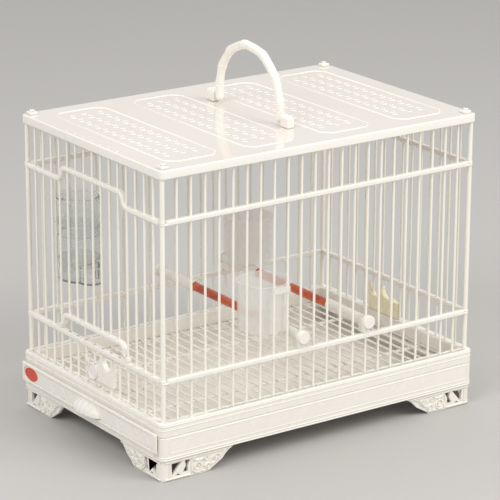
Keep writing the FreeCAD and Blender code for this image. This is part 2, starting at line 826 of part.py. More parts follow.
grate_length = "base_length - 2 * rim_width - 2 * free_gap"
grate_depth = "base_depth - 2 * rim_width - 2 * free_gap"
bar_step = f"(({grate_depth} - grate_bar_width) / {GRATE_CROSS_BARS - 1})"
grate_bars = []
for row in range(GRATE_CROSS_BARS):
    steps = row - (GRATE_CROSS_BARS - 1) / 2
    grate_bars.append(
        box(f"grate_bar_{row}", "centre_x", f"{steps} * {bar_step}", "grate_low", grate_length,
            "grate_bar_width", "grate_bar_height")
    )
finish(group("grate_bars", grate_bars), "floor_grate_bars")

grate_inset = number("rim_width") + number("free_gap")
slat_room = number("base_length") - 2 * grate_inset - number("grate_slat_width")
slat_spaces = int(slat_room // number("grate_pitch"))
grate_slats = [
    box(f"grate_slat_{column}", f"centre_x + {column - slat_spaces / 2} * grate_pitch", "0",
        "grate_low + grate_bar_height", "grate_slat_width", grate_depth, "grate_slat_height")
    for column in range(slat_spaces + 1)
]
finish(group("grate_slats", grate_slats), "floor_grate_slats")


# Feet: one corner foot with two fretted legs, mirrored to each corner.
# Corners of the windows in a leg, outwards and upwards, as shares of the foot's height.
WINDOW_SHARES = (
    ((0.52, 0.80), (1.08, 0.82), (0.55, 0.21)),
    ((0.70, 0.19), (1.00, 0.19), (0.85, 0.29)),
    ((1.26, 0.82), (1.56, 0.82), (1.40, 0.55), (1.42, 0.26), (1.13, 0.26), (1.30, 0.55)),
)
OGEE_LINE_SHARES = (0.42, 0.48)
OGEE_HOLLOW_SHARE = 0.08


def foot_leg(low_name, high_name):
    """One leg in the XZ plane, from the corner at the origin outwards along X."""
    height = number("foot_height")
    low = number(low_name)
    high = number(high_name)
    toe = number("foot_toe_radius")
    wall_size = number("foot_wall")
    lean = math.radians(60)
    toe_centre = FreeCAD.Vector(low - toe, 0, toe)

    def on_toe(angle):
        return toe_centre + FreeCAD.Vector(toe * math.sin(angle), 0, -toe * math.cos(angle))

    toe_end = on_toe(lean)
    rise_share, run_share = OGEE_LINE_SHARES
    bend = FreeCAD.Vector(
        toe_end.x + run_share * (high - toe_end.x), 0, toe_end.z + rise_share * (height - toe_end.z)
    )
    top = FreeCAD.Vector(high, 0, height)
    chord = top - bend
    hollow = (bend + top) * (1 / 2) + FreeCAD.Vector(-chord.z, 0, chord.x) * OGEE_HOLLOW_SHARE
    corner = FreeCAD.Vector(0, 0, 0)
    inner_top = FreeCAD.Vector(0, 0, height)
    edges = [
        line(corner, on_toe(0)),
        arc(on_toe(0), on_toe(lean / 2), toe_end),
        line(toe_end, bend),
        arc(bend, hollow, top),
        line(top, inner_top),
        line(inner_top, corner),
    ]
    leg = Part.Face(Part.Wire(edges)).extrude(FreeCAD.Vector(0, wall_size, 0))
    for shares in WINDOW_SHARES:
        points = [FreeCAD.Vector(height * along, -wall_size, height * up) for along, up in shares]
        leg = leg.cut(polygon_prism(points, FreeCAD.Vector(0, 3 * wall_size, 0)))
    return leg


def corner_foot():
    long_leg = foot_leg("foot_long_reach_low", "foot_long_reach_high")
    side_leg = foot_leg("foot_side_reach_low", "foot_side_reach_high")
    side_leg = side_leg.mirror(FreeCAD.Vector(0, 0, 0), FreeCAD.Vector(1, -1, 0))
    both = long_leg.fuse(side_leg).removeSplitter()
    outer_edges = [
        edge for edge in both.Edges
        if is_upright(edge) and edge.CenterOfMass.x + edge.CenterOfMass.y < number("foot_wall") / 2
    ]
    return both.makeFillet(number("foot_corner_radius"), outer_edges)


foot_shape = corner_foot()
for label, sign_x, sign_y in (
    ("foot_front_left", "-", "-"),
    ("foot_front_right", "+", "-"),
    ("foot_rear_left", "-", "+"),
    ("foot_rear_right", "+", "+"),
):
    shape = foot_shape
    if sign_x == "+":
        shape = shape.mirror(FreeCAD.Vector(0, 0, 0), FreeCAD.Vector(1, 0, 0))
    if sign_y == "+":
        shape = shape.mirror(FreeCAD.Vector(0, 0, 0), FreeCAD.Vector(0, 1, 0))
    foot = solid_feature(label, shape)
    place(foot, f"centre_x {sign_x} (base_length / 2 - foot_inset)",
          f"0 {sign_y} (base_depth / 2 - foot_inset)", "0")
    finish(foot, label)


# Drawer: tray, front panel with a round-ended recess, cup pull and oval badge.
tray_length = "base_length - base_wall"
tray_x = "front_back_x + (base_length - base_wall) / 2"
tray_block = box("tray_block", tray_x, "0", "tray_low", tray_length, "tray_width", "tray_height")
tray_inside = box("tray_inside", tray_x, "0", "tray_low + tray_wall", f"{tray_length} - 2 * tray_wall",
                  "tray_width - 2 * tray_wall", "tray_height")
finish(cut("tray", tray_block, tray_inside), "drawer_tray")


def oval(name, y, x, depth, half_width, half_height):
    """Elliptic plug along X, centred on y and on the middle height of the drawer front."""
    edge = Part.Ellipse(FreeCAD.Vector(), number(half_width), number(half_height)).toShape()
    plug = Part.Face(Part.Wire([edge])).extrude(FreeCAD.Vector(0, 0, number(depth)))
    item = solid_feature(name, plug)
    return place(item, x, y, "badge_z", FACING_X)


front_plate = box("front_plate", "front_back_x - front_thickness / 2", "0", "front_low", "front_thickness",
                  "front_width", "front_height")
pocket_radius = "(front_height / 2 - front_border)"
pocket_span = f"(front_width / 2 - front_border - {pocket_radius})"
pocket_start = "front_face_x - front_recess"
pocket_middle = box("pocket_middle", "front_face_x", "0", "front_low + front_border", "2 * front_recess",
                    f"2 * {pocket_span}", f"2 * {pocket_radius}")
pocket_ends = [
    cylinder(f"pocket_end_{side}", pocket_start, f"{sign} * {pocket_span}", "badge_z", pocket_radius,
             "2 * front_recess", ALONG_X)
    for side, sign in enumerate(("-1", "1"))
]
front_pocket = fuse("front_pocket", pocket_middle, *pocket_ends)
badge_seat = oval("badge_seat", "badge_y", "front_face_x + front_recess", "badge_thickness",
                  "badge_half_width", "badge_half_height")
finish(cut("drawer_panel", front_plate, front_pocket, badge_seat), "drawer_front")
finish(
    oval("badge", "badge_y", "front_face_x + front_recess", "badge_thickness", "badge_half_width",
         "badge_half_height"),
    "badge_plate",
)

pull_x = "front_face_x + front_recess"
pull_z = "front_low + pull_lift"
pull_depth = "pull_reach + front_recess"
pull_outer = ellipsoid("pull_outer", pull_x, "0", pull_z, pull_depth, "pull_half_width", "pull_height")
pull_inner = ellipsoid("pull_inner", pull_x, "0", pull_z, f"{pull_depth} - pull_wall",
                       "pull_half_width - pull_wall", "pull_height - pull_wall")
pull_quarter = box("pull_quarter", f"{pull_x} - ({pull_depth}) / 2", "0", pull_z, pull_depth,
                   "2 * pull_half_width", "pull_height")
finish(common("pull", cut("pull_shell", pull_outer, pull_inner), pull_quarter), "drawer_pull")


# Slide latches: each rides on three bars of a short wall and drops two prongs into the rim.
HOLLOW_SHARES = (0.72, 0.28)
SADDLE_DIP_SHARE = 0.66
SHOULDER_START_SHARE = 0.75


def latch_plate():
    """Plate in the YZ plane with two horns, centred on its middle bar, with its shoulder towards +Y."""
    pitch = number("side_pitch")
    height = number("latch_height")
    shoulder = number("latch_shoulder_height")
    half_horn = number("latch_horn_width") / 2
    thickness = number("latch_thickness")
    horn_end = -number("latch_horn_reach")
    shoulder_end = number("latch_shoulder_reach")

    def at(along, up):
        return FreeCAD.Vector(-thickness / 2, along, up)

    def hollow(low_point, tip):
        """Curve that leaves the low point nearly level and climbs to the tip of a horn."""
        along_share, up_share = HOLLOW_SHARES
        climb = tip - low_point
        middle = low_point + FreeCAD.Vector(0, climb.y * along_share, climb.z * up_share)
        return arc(low_point, middle, tip)

    dip = at(-pitch * SADDLE_DIP_SHARE, number("latch_saddle_height"))
    shoulder_start = at(pitch * SHOULDER_START_SHARE, shoulder)
    outer_tip = at(horn_end + number("latch_tip_width"), height)
    edges = [
        line(at(horn_end, 0), at(shoulder_end, 0)),
        line(at(shoulder_end, 0), at(shoulder_end, shoulder)),
        line(at(shoulder_end, shoulder), shoulder_start),
        hollow(shoulder_start, at(half_horn, height)),
        line(at(half_horn, height), at(-half_horn, height)),
        hollow(dip, at(-half_horn, height)),
        hollow(dip, outer_tip),
        line(outer_tip, at(horn_end, height)),
        line(at(horn_end, height), at(horn_end, 0)),
    ]
    outline = Part.Wire(Part.__sortEdges__(edges))
    return Part.Face(outline).extrude(FreeCAD.Vector(thickness, 0, 0))


def latch_dish():
    """Hollowed oval finger dish on the plate's -X face, centred on Y and Z."""
    thickness = number("latch_dish_thickness")
    half_height = number("latch_dish_height") / 2
    half_width = number("latch_dish_width") / 2
    border = number("latch_dish_border")
    outer = Part.Ellipse(FreeCAD.Vector(), half_height, half_width).toShape()
    inner_place = FreeCAD.Vector(0, 0, thickness - number("latch_dish_hollow"))
    inner = Part.Ellipse(inner_place, half_height - border, half_width - border).toShape()
    plug = Part.Face(Part.Wire([outer])).extrude(FreeCAD.Vector(0, 0, thickness))
    hollow = Part.Face(Part.Wire([inner])).extrude(FreeCAD.Vector(0, 0, thickness))
    dish = plug.cut(hollow)
    dish.rotate(FreeCAD.Vector(), FreeCAD.Vector(0, 1, 0), -90)
    dish.translate(FreeCAD.Vector(-number("latch_thickness") / 2, number("latch_dish_offset"), half_height))
    return dish


def latch(label, spot, turn, raised):
    """One latch, turned about its middle bar and raised above its lowest place."""
    x, y = spot
    about_z = FreeCAD.Rotation(FreeCAD.Vector(0, 0, 1), turn)
    saddle = solid_feature(f"{label}_saddle", latch_plate().fuse(latch_dish()))
    place(saddle, x, y, f"latch_low + {raised}", about_z)
    prongs = [
        cylinder(f"{label}_prong_{row}", x, f"{y} {step}", f"rim_top - latch_prong_depth + {raised}",
                 "latch_prong_radius", "latch_prong_depth + free_gap + latch_shoulder_height / 2")
        for row, step in enumerate(prong_steps)
    ]
    blank = fuse(f"{label}_blank", saddle, *prongs)
    bores = group(f"{label}_bores", [
        cylinder(f"{label}_bore_{row}", x, f"{y} + {steps} * side_pitch", "rim_top",
                 "bar_radius + slide_fit", "latch_height + lower_rail_rise")
        for row, steps in enumerate((-1, 0, 1))
    ])
    finish(cut(f"{label}_body", blank, bores), label)


# The left latch stands open at rest, the right one is dropped into the rim.
latch("latch_left", latch_spots[0], 0, "latch_travel")
latch("latch_right", latch_spots[1], 180, "0")


# Perches: a wooden rod held in two plastic ends that grip a bar and stand on the lower rails.
def perch_end(name, x, sign):
    turned = ALONG_Y if sign == "+" else FreeCAD.Rotation(FreeCAD.Vector(1, 0, 0), 90)
    start = f"0 {sign} (perch_wood_length / 2)"
    sleeve_length = "cage_depth / 2 - perch_wood_length / 2"
    sleeve = cone(f"{name}_sleeve", x, start, "perch_z", "perch_sleeve_radius", "perch_neck_radius",
                  sleeve_length, turned)
    knob_start = f"0 {sign} (cage_depth / 2 - cut_overrun)"
    neck = cylinder(f"{name}_neck", x, knob_start, "perch_z", "perch_neck_radius",
                    "bar_radius + free_gap + 2 * cut_overrun", turned)
    knob = cylinder(f"{name}_knob", x, f"0 {sign} (cage_depth / 2 + bar_radius + free_gap)", "perch_z",
                    "perch_knob_radius", "perch_knob_length", turned)
    foot = box(f"{name}_foot", x, f"0 {sign} (cage_depth / 2 + rail_width / 2 - perch_foot_length / 2)",
               "lower_rail_top", "perch_foot_width", "perch_foot_length", "perch_seat_rise")
    socket = cylinder(f"{name}_socket", x, f"0 {sign} (perch_wood_length / 2 - cut_overrun)", "perch_z",
                      "perch_radius + fixed_fit", "perch_socket_depth + cut_overrun", turned)
    slot_length = "perch_foot_width + perch_knob_radius"
    slot = box(f"{name}_slot", f"{x} - bar_radius - fixed_fit + ({slot_length}) / 2",
               f"0 {sign} (cage_depth / 2)", "lower_rail_top - cut_overrun", slot_length,
               "2 * bar_radius + 2 * fixed_fit", "perch_seat_rise + perch_knob_radius + 2 * cut_overrun")
    return cut(name, fuse(f"{name}_blank", sleeve, neck, knob, foot), socket, slot)


for count, bar_index in enumerate(PERCH_BARS, start=1):
    perch_x = long_x(bar_index)
    rod = cylinder(f"perch_{count}_wood", perch_x, "-perch_wood_length / 2 - perch_socket_depth", "perch_z",
                   "perch_radius", "perch_wood_length + 2 * perch_socket_depth", ALONG_Y)
    finish(rod, f"perch_{count}_rod")
    ends = [perch_end(f"perch_{count}_end_{side}", perch_x, sign) for side, sign in enumerate("-+")]
    finish(group(f"perch_{count}_pair", ends), f"perch_{count}_ends")


# Wall hook: a neck between two bars with a plate behind them.
def wall_hook(name, x, wall_y, sign, reach, hub_radius, top):
    """Neck from the hub's wall out to a plate on the far side of the bars; sign points outwards."""
    neck_length = f"({reach} - ({hub_radius}) + bar_radius + free_gap + hook_plate_thickness)"
    neck_middle = f"{wall_y} {sign} (bar_radius + free_gap + hook_plate_thickness - {neck_length} / 2)"
    neck = box(f"{name}_neck", x, neck_middle, f"{top} - hook_neck_height", "hook_neck_width", neck_length,
               "hook_neck_height")
    plate_middle = f"{wall_y} {sign} (bar_radius + free_gap + hook_plate_thickness / 2)"
    plate = box(f"{name}_plate", x, plate_middle, f"{top} - hook_plate_height", "hook_plate_width",
                "hook_plate_thickness", "hook_plate_height")
    return neck, plate


CUP_PROFILE = [
    ("0", "0"),
    ("cup_low_radius", "0"),
    ("cup_high_radius", "cup_height - cup_lip_height"),
    ("cup_high_radius + cup_lip", "cup_height - cup_lip_height"),
    ("cup_high_radius + cup_lip", "cup_height"),
    ("cup_high_radius - cup_wall", "cup_height"),
    ("cup_low_radius - cup_wall", "cup_wall"),
    ("0", "cup_wall"),
]


def cup(label, space, wall_y, sign):
    x = long_x(space)
    inward = "-" if sign == "+" else "+"
    bowl = revolved_body(f"{label}_bowl", CUP_PROFILE, x, f"{wall_y} {inward} cup_reach", "cup_low")
    hook = wall_hook(f"{label}_hook", x, wall_y, sign, "cup_reach", "cup_high_radius - cup_wall / 2",
                     "cup_low + cup_height")
    finish(fuse(f"{label}_whole", bowl, *hook), label)


cup("cup_front", FRONT_CUP_SPACE, "front_y", "-")
cup("cup_rear", REAR_CUP_SPACE, "rear_y", "+")


# Seed tube: a clear tube with an outlet, standing in a dish with a feeding trough, held by a ring on the
# rear wall.
tube_x = long_x(TUBE_SPACE)
tube_y = "rear_y - tube_reach"
TUBE_PROFILE = [
    ("tube_radius - tube_wall", "0"),
    ("tube_radius", "0"),
    ("tube_radius", "tube_height - tube_lip_height"),
    ("tube_radius + tube_lip", "tube_height - tube_lip_height"),
    ("tube_radius + tube_lip", "tube_height"),
    ("tube_radius - tube_wall", "tube_height"),
]
tube_shell = revolved_body("tube_shell", TUBE_PROFILE, tube_x, tube_y, "tube_low")
trough_y = f"{tube_y} - tube_radius"
outlet = box("tube_outlet", tube_x, trough_y, "tube_low - cut_overrun", "outlet_width", "tube_radius",
             "outlet_height + cut_overrun")
finish(cut("tube", tube_shell, outlet), "seed_tube")

dish_low = "tube_low - dish_wall"
dish_cup = cylinder("dish_cup", tube_x, tube_y, dish_low, "tube_radius + fixed_fit + dish_wall",
                    "dish_height")
trough_cup = cylinder("trough_cup", tube_x, trough_y, dish_low, "trough_radius", "trough_height")
dish_inside = cylinder("dish_inside", tube_x, tube_y, "tube_low", "tube_radius + fixed_fit", "dish_height")
trough_inside = cylinder("trough_inside", tube_x, trough_y, "tube_low", "trough_radius - dish_wall",
                         "trough_height")
finish(cut("dish", fuse("dish_blank", dish_cup, trough_cup), dish_inside, trough_inside), "tube_dish")

holder_low = "tube_low + holder_lift"
holder_ring = cylinder("holder_ring", tube_x, tube_y, holder_low, "holder_outer_radius", "holder_height")
holder_hook = wall_hook("holder_hook", tube_x, "rear_y", "+", "tube_reach",
                        "holder_outer_radius - holder_wall / 2", f"{holder_low} + holder_height")
holder_bore = cylinder("holder_bore", tube_x, tube_y, f"{holder_low} - cut_overrun - hook_plate_height",
                       "tube_radius + fixed_fit", "holder_height + hook_plate_height + 2 * cut_overrun")
finish(cut("holder", fuse("holder_blank", holder_ring, *holder_hook), holder_bore), "tube_holder")


# Check every object, then write one file for each piece.
document.recompute()
faults = [item.Name for item in document.Objects if "Invalid" in item.State or "Error" in item.State]
for item in finished:
    if item.Shape.isNull() or not item.Shape.isValid() or not item.Shape.Solids:
        faults.append(item.Label)
if faults:
    raise RuntimeError("These objects failed: " + ", ".join(faults))

os.makedirs("parts", exist_ok=True)
for item in finished:
    item.Shape.exportStep(f"parts/{item.Label}.step")
    bounds = item.Shape.BoundBox
    print(
        f"{item.Label}: {len(item.Shape.Solids)} solids, {item.Shape.Volume:.0f} mm3, "
        f"x {bounds.XMin:.2f} {bounds.XMax:.2f}, y {bounds.YMin:.2f} {bounds.YMax:.2f}, "
        f"z {bounds.ZMin:.2f} {bounds.ZMax:.2f}"
    )
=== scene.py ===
"""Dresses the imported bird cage: softened plastic edges, relief on lid, base and feet, bamboo-like handle,
materials, floor, lights and the photograph's camera. Lengths are in millimetres, unless it says metres."""
import json
import math
import bmesh
import bpy
from mathutils import Matrix, Vector


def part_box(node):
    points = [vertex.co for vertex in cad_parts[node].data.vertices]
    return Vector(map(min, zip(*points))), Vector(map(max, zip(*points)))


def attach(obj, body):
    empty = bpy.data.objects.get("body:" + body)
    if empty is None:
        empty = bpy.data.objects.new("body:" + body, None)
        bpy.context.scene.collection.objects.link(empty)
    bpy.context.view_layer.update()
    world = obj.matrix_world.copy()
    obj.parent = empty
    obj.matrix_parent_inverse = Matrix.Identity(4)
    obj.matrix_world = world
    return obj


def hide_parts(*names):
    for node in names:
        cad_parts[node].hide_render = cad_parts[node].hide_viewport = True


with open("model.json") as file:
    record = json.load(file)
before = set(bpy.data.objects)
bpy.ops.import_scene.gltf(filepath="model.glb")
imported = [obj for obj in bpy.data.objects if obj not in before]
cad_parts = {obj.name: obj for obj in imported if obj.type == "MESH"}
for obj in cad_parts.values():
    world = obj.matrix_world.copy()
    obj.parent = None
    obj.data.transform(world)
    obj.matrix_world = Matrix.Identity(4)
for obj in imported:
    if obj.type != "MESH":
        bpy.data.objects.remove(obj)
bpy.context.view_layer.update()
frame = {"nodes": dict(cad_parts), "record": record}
scene = bpy.context.scene
MM = 0.001

BODY_OF_NODE = {
    node: body
    for body, nodes in frame["record"]["behaviour"]["bodies"].items()
    for node in nodes
}
SLOT_OF_NODE = {entry["node"]: entry["material_slot"] for entry in frame["record"]["subparts"]}


# Materials
CLOUD_SCALE = 10
WEAR_SCALE = 75
CLOUD_EDGE_SHARES = (0.3, 0.7)
RELIEF_DEPTH = 0.2
WOOD_STRETCH_SHARES = (1, 0.05, 1)
WOOD_GRAIN_SCALE = 520
WOOD_GRAIN_SHARE = 0.75
WOOD_BLOTCH_SCALE = 60
# Place on the ramp and colour.
WOOD_STOPS = ((0.55, (0.30, 0.030, 0.010)), (1.1, (0.70, 0.13, 0.035)), (0.8, (0.52, 0.075, 0.020)))
WOOD_SOCKETS = {"Roughness": 0.38, "Coat Weight": 0.25, "Coat Roughness": 0.2}


def material_nodes(name):
    """New material with its shader, and a maker of nodes."""
    material = bpy.data.materials.new(name)
    material.use_nodes = True
    tree = material.node_tree
    shader = tree.nodes["Principled BSDF"]

    def add(kind, **settings):
        node = tree.nodes.new(kind)
        for key, value in settings.items():
            if hasattr(node, key):
                setattr(node, key, value)
            else:
                node.inputs[key].default_value = value
        return node

    return material, tree, shader, add


def set_sockets(shader, sockets):
    for key, value in sockets.items():
        shader.inputs[key].default_value = value


def ramp_between(tree, add, factor, stops):
    """Colour ramp over a factor; stops are (place, colour)."""
    ramp = add("ShaderNodeValToRGB")
    elements = ramp.color_ramp.elements
    for index, (spot, colour) in enumerate(stops):
        element = elements[index] if index < 2 else elements.new(spot)
        element.position = spot
        element.color = (*colour, 1)
    tree.links.new(factor, ramp.inputs["Fac"])
    return ramp.outputs["Color"]


def moulded_plastic(name, dark, light, rough, grain=900, bump=0.08, **sockets):
    """Plastic with faint cloudiness, uneven gloss and a fine moulded skin."""
    material, tree, shader, add = material_nodes(name)
    coords = add("ShaderNodeTexCoord").outputs["Object"]
    cloud = add("ShaderNodeTexNoise", Scale=CLOUD_SCALE, Detail=2)
    skin = add("ShaderNodeTexNoise", Scale=grain, Detail=2)
    wear = add("ShaderNodeTexNoise", Scale=WEAR_SCALE, Detail=3)
    for texture in (cloud, skin, wear):
        tree.links.new(coords, texture.inputs["Vector"])
    colour = ramp_between(tree, add, cloud.outputs["Fac"], zip(CLOUD_EDGE_SHARES, (dark, light)))
    tree.links.new(colour, shader.inputs["Base Color"])
    gloss = add("ShaderNodeMapRange")
    gloss.inputs["To Min"].default_value = rough[0]
    gloss.inputs["To Max"].default_value = rough[1]
    tree.links.new(wear.outputs["Fac"], gloss.inputs["Value"])
    tree.links.new(gloss.outputs["Result"], shader.inputs["Roughness"])
    relief = add("ShaderNodeBump", Strength=bump, Distance=RELIEF_DEPTH * MM)
    tree.links.new(skin.outputs["Fac"], relief.inputs["Height"])
    tree.links.new(relief.outputs["Normal"], shader.inputs["Normal"])
    set_sockets(shader, sockets)
    return material


def stained_wood(name):
    """Red-brown stained wood with the grain along Y."""
    material, tree, shader, add = material_nodes(name)
    coords = add("ShaderNodeTexCoord").outputs["Object"]
    stretch = add("ShaderNodeMapping")
    stretch.inputs["Scale"].default_value = WOOD_STRETCH_SHARES
    tree.links.new(coords, stretch.inputs["Vector"])
    grain = add("ShaderNodeTexNoise", Scale=WOOD_GRAIN_SCALE, Detail=6, Roughness=0.65)
    blotch = add("ShaderNodeTexNoise", Scale=WOOD_BLOTCH_SCALE, Detail=3)
    tree.links.new(stretch.outputs["Vector"], grain.inputs["Vector"])
    tree.links.new(coords, blotch.inputs["Vector"])
    blend = add("ShaderNodeMath", operation="MULTIPLY_ADD")
    tree.links.new(grain.outputs["Fac"], blend.inputs[0])
    blend.inputs[1].default_value = WOOD_GRAIN_SHARE
    tree.links.new(blotch.outputs["Fac"], blend.inputs[2])
    colour = ramp_between(tree, add, blend.outputs["Value"], WOOD_STOPS)
    tree.links.new(colour, shader.inputs["Base Color"])
    relief = add("ShaderNodeBump", Strength=0.25, Distance=RELIEF_DEPTH * MM)
    tree.links.new(grain.outputs["Fac"], relief.inputs["Height"])
    tree.links.new(relief.outputs["Normal"], shader.inputs["Normal"])
    set_sockets(shader, WOOD_SOCKETS)
    return material


# Settings of each moulded plastic; names that begin with a capital are sockets of the shader.
PLASTICS = {
    "ivory_plastic": {
        "dark": (0.895, 0.865, 0.795), "light": (0.91, 0.885, 0.82), "rough": (0.24, 0.3),
        "Coat Weight": 0.2, "Coat Roughness": 0.1,
    },
    # Lid plastic: its darker, greyer colour is painted shade on the lid's top, which is the base's ivory
    # under less light; its gloss is its own.
    "lid_plastic": {
        "dark": (0.765, 0.695, 0.63), "light": (0.785, 0.72, 0.655), "rough": (0.05, 0.09),
        "grain": 300, "bump": 0.02, "IOR": 1.6, "Coat Weight": 1.0, "Coat Roughness": 0.03,
    },
    "coated_wire": {
        "dark": (0.90, 0.87, 0.78), "light": (0.925, 0.90, 0.82), "rough": (0.20, 0.30),
        "grain": 700, "bump": 0.06, "Coat Weight": 0.3, "Coat Roughness": 0.1,
    },
    "pin_steel": {
        "dark": (0.55, 0.55, 0.54), "light": (0.66, 0.66, 0.65), "rough": (0.25, 0.4),
        "grain": 1500, "bump": 0.1, "Metallic": 1.0,
    },
    "red_plastic": {
        "dark": (0.62, 0.035, 0.012), "light": (0.74, 0.06, 0.02), "rough": (0.2, 0.3),
        "Coat Weight": 0.4, "Coat Roughness": 0.08,
    },
    "pale_yellow_plastic": {
        "dark": (0.93, 0.84, 0.54), "light": (0.96, 0.90, 0.66), "rough": (0.22, 0.34),
        "Subsurface Weight": 0.15, "Subsurface Scale": 0.004, "Coat Weight": 0.2,
    },
    "frosted_plastic": {
        "dark": (0.93, 0.92, 0.88), "light": (0.96, 0.95, 0.92), "rough": (0.22, 0.32),
        "grain": 500, "bump": 0.05, "Alpha": 0.38, "Coat Weight": 0.3,
    },
    "clear_plastic": {
        "dark": (0.93, 0.95, 0.94), "light": (0.97, 0.98, 0.97), "rough": (0.03, 0.07),
        "grain": 120, "bump": 0.02, "Transmission Weight": 0.88, "IOR": 1.22,
    },
    # Paler ivory for the grate and the drawer tray: painted light that lifts the shade which the lid and the
    # grate cast inside the cage.
    "grate_plastic_painted_light": {
        "dark": (0.945, 0.915, 0.85), "light": (0.96, 0.935, 0.875), "rough": (0.16, 0.24),
        "Coat Weight": 0.4, "Coat Roughness": 0.08,
    },
}
MATERIALS = {name: moulded_plastic(name, **settings) for name, settings in PLASTICS.items()}
MATERIALS["perch_wood"] = stained_wood("perch_wood")
# Pieces that get a paler colour than the rest of their slot, as painted light that lifts the shade inside the
# cage.
PAINTED_LIGHT_NODES = ("floor_grate_bars", "floor_grate_slats", "drawer_tray")

for node_name, node_object in frame["nodes"].items():
    node_object.data.materials.clear()
    node_object.data.materials.append(MATERIALS[SLOT_OF_NODE[node_name]])


# Mesh helpers
SHARP_DEGREES = 40
BEVEL_SEGMENTS = 3


def mm_box(node):
    """Low and high corner of a CAD node in millimetres."""
    low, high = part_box(node)
    return low / MM, high / MM


def add_piece(name, mesh, body, slot):
    """Show a mesh that is already in the row frame, riding on a body, with a slot's material."""
    piece = bpy.data.objects.new(name, mesh)
    scene.collection.objects.link(piece)
    mesh.materials.append(MATERIALS[slot])
    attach(piece, body)
    return piece


def smooth_mesh(name, shape, sharp_degrees=SHARP_DEGREES):
    """Turn a bmesh into a smooth-shaded mesh with its corners kept sharp."""
    mesh = bpy.data.meshes.new(name)
    shape.to_mesh(mesh)
    shape.free()
    for polygon in mesh.polygons:
        polygon.use_smooth = True
    mesh.set_sharp_from_angle(angle=math.radians(sharp_degrees))
    return mesh


def stand_in(name, shape, node, sharp_degrees=SHARP_DEGREES):
    """Show a mesh in place of a CAD node, on its body and with its material."""
    bmesh.ops.recalc_face_normals(shape, faces=shape.faces)
    piece = add_piece(name, smooth_mesh(name, shape, sharp_degrees), BODY_OF_NODE[node], SLOT_OF_NODE[node])
    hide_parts(node)
    return piece


def round_edges(piece, width):
    """Bevel on a piece; the caller says which edges it takes."""
    rounding = piece.modifiers.new("rounding", "BEVEL")
    rounding.width = width * MM
    rounding.segments = BEVEL_SEGMENTS
    rounding.harden_normals = True
    return rounding


def bridge(shape, first, second):
    """Quads between two closed rows of corners."""
    count = len(first)
    for index in range(count):
        following = (index + 1) % count
        shape.faces.new((first[index], first[following], second[following], second[index]))


def bridge_all(shape, rows):
    """Quads between closed rows of corners, each row with the next."""
    for first, second in zip(rows, rows[1:]):
        bridge(shape, first, second)


def corners_at(shape, points):
    """New corners of a mesh at points in millimetres."""
    return [shape.verts.new(Vector(point) * MM) for point in points]


def oblong(low_a, high_a, low_b, high_b, corner, steps, reach=None):
    """Points of a rounded oblong; its corner arcs have another radius than the corner if reach is given."""
    radius = corner if reach is None else reach
    points = []
    for middle_a, middle_b, start in (
        (high_a - corner, high_b - corner, 0),
        (low_a + corner, high_b - corner, 90),
        (low_a + corner, low_b + corner, 180),
        (high_a - corner, low_b + corner, 270),
    ):
        for step in range(steps + 1):
            angle = math.radians(start + 90 * step / steps)
            points.append((middle_a + radius * math.cos(angle), middle_b + radius * math.sin(angle)))
    return points


# Softened nodes: the CAD mesh with its outer edges rounded
SOFT_SHARP_ANGLE = math.radians(38)
SOFT_FLAT_ANGLE = math.radians(0.6)
SOFT_WELD = 0.002
HOLE_REACH = 9
BASE_CORNER = 8
BASE_DRAW_IN = 0.5
OUTER_WALL_SHARE = 0.99
DRAWN_IN = ("rim_frame", "base_body")
# Inner corners of these nodes stay sharp, because a rounding there would stand below their lower edge.
INNER_CORNERS_KEPT = ("latch_left", "latch_right")
# Width of the rounding.
SOFTENED = {
    "post_caps": 0.8,
    "handle_bracket_front": 1.4,
    "handle_bracket_rear": 1.4,
    "rim_frame": 1.4,
    "base_body": 1.0,
    "foot_front_left": 0.7,
    "foot_front_right": 0.7,
    "foot_rear_left": 0.7,
    "foot_rear_right": 0.7,
    "drawer_tray": 0.5,
    "floor_grate_bars": 0.4,
    "floor_grate_slats": 0.7,
    "latch_left": 0.7,
    "latch_right": 0.7,
    "perch_1_ends": 0.6,
    "perch_2_ends": 0.6,
    "cup_front": 0.4,
    "cup_rear": 0.4,
    "seed_tube": 0.4,
    "tube_dish": 0.5,
    "tube_holder": 0.5,
}


def sharp_groups(shape):
    """Connected groups of sharp edges, each a set."""
    sharp = {
        edge for edge in shape.edges
        if len(edge.link_faces) == 2 and edge.calc_face_angle(0) > SOFT_SHARP_ANGLE
    }
    groups = []
    while sharp:
        todo = [sharp.pop()]
        found = set(todo)
        while todo:
            for corner in todo.pop().verts:
                for edge in corner.link_edges:
                    if edge in sharp:
                        sharp.discard(edge)
                        found.add(edge)
                        todo.append(edge)
        groups.append(found)
    return groups


def reach_of(edges):
    """Diagonal of the box around some edges, in metres."""
    points = [corner.co for edge in edges for corner in edge.verts]
    low = Vector([min(point[axis] for point in points) for axis in range(3)])
    high = Vector([max(point[axis] for point in points) for axis in range(3)])
    return (high - low).length


def draw_in(shape, node):
    """Move the outer walls of the rim or base inwards, which leaves room for beads on them."""
    low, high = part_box(node)
    corner = BASE_CORNER * MM
    for point in shape.verts:
        held_x = min(max(point.co.x, low.x + corner), high.x - corner)
        held_y = min(max(point.co.y, low.y + corner), high.y - corner)
        away = point.co - Vector((held_x, held_y, point.co.z))
        if away.length > OUTER_WALL_SHARE * corner:
            point.co -= away.normalized() * (BASE_DRAW_IN * MM)


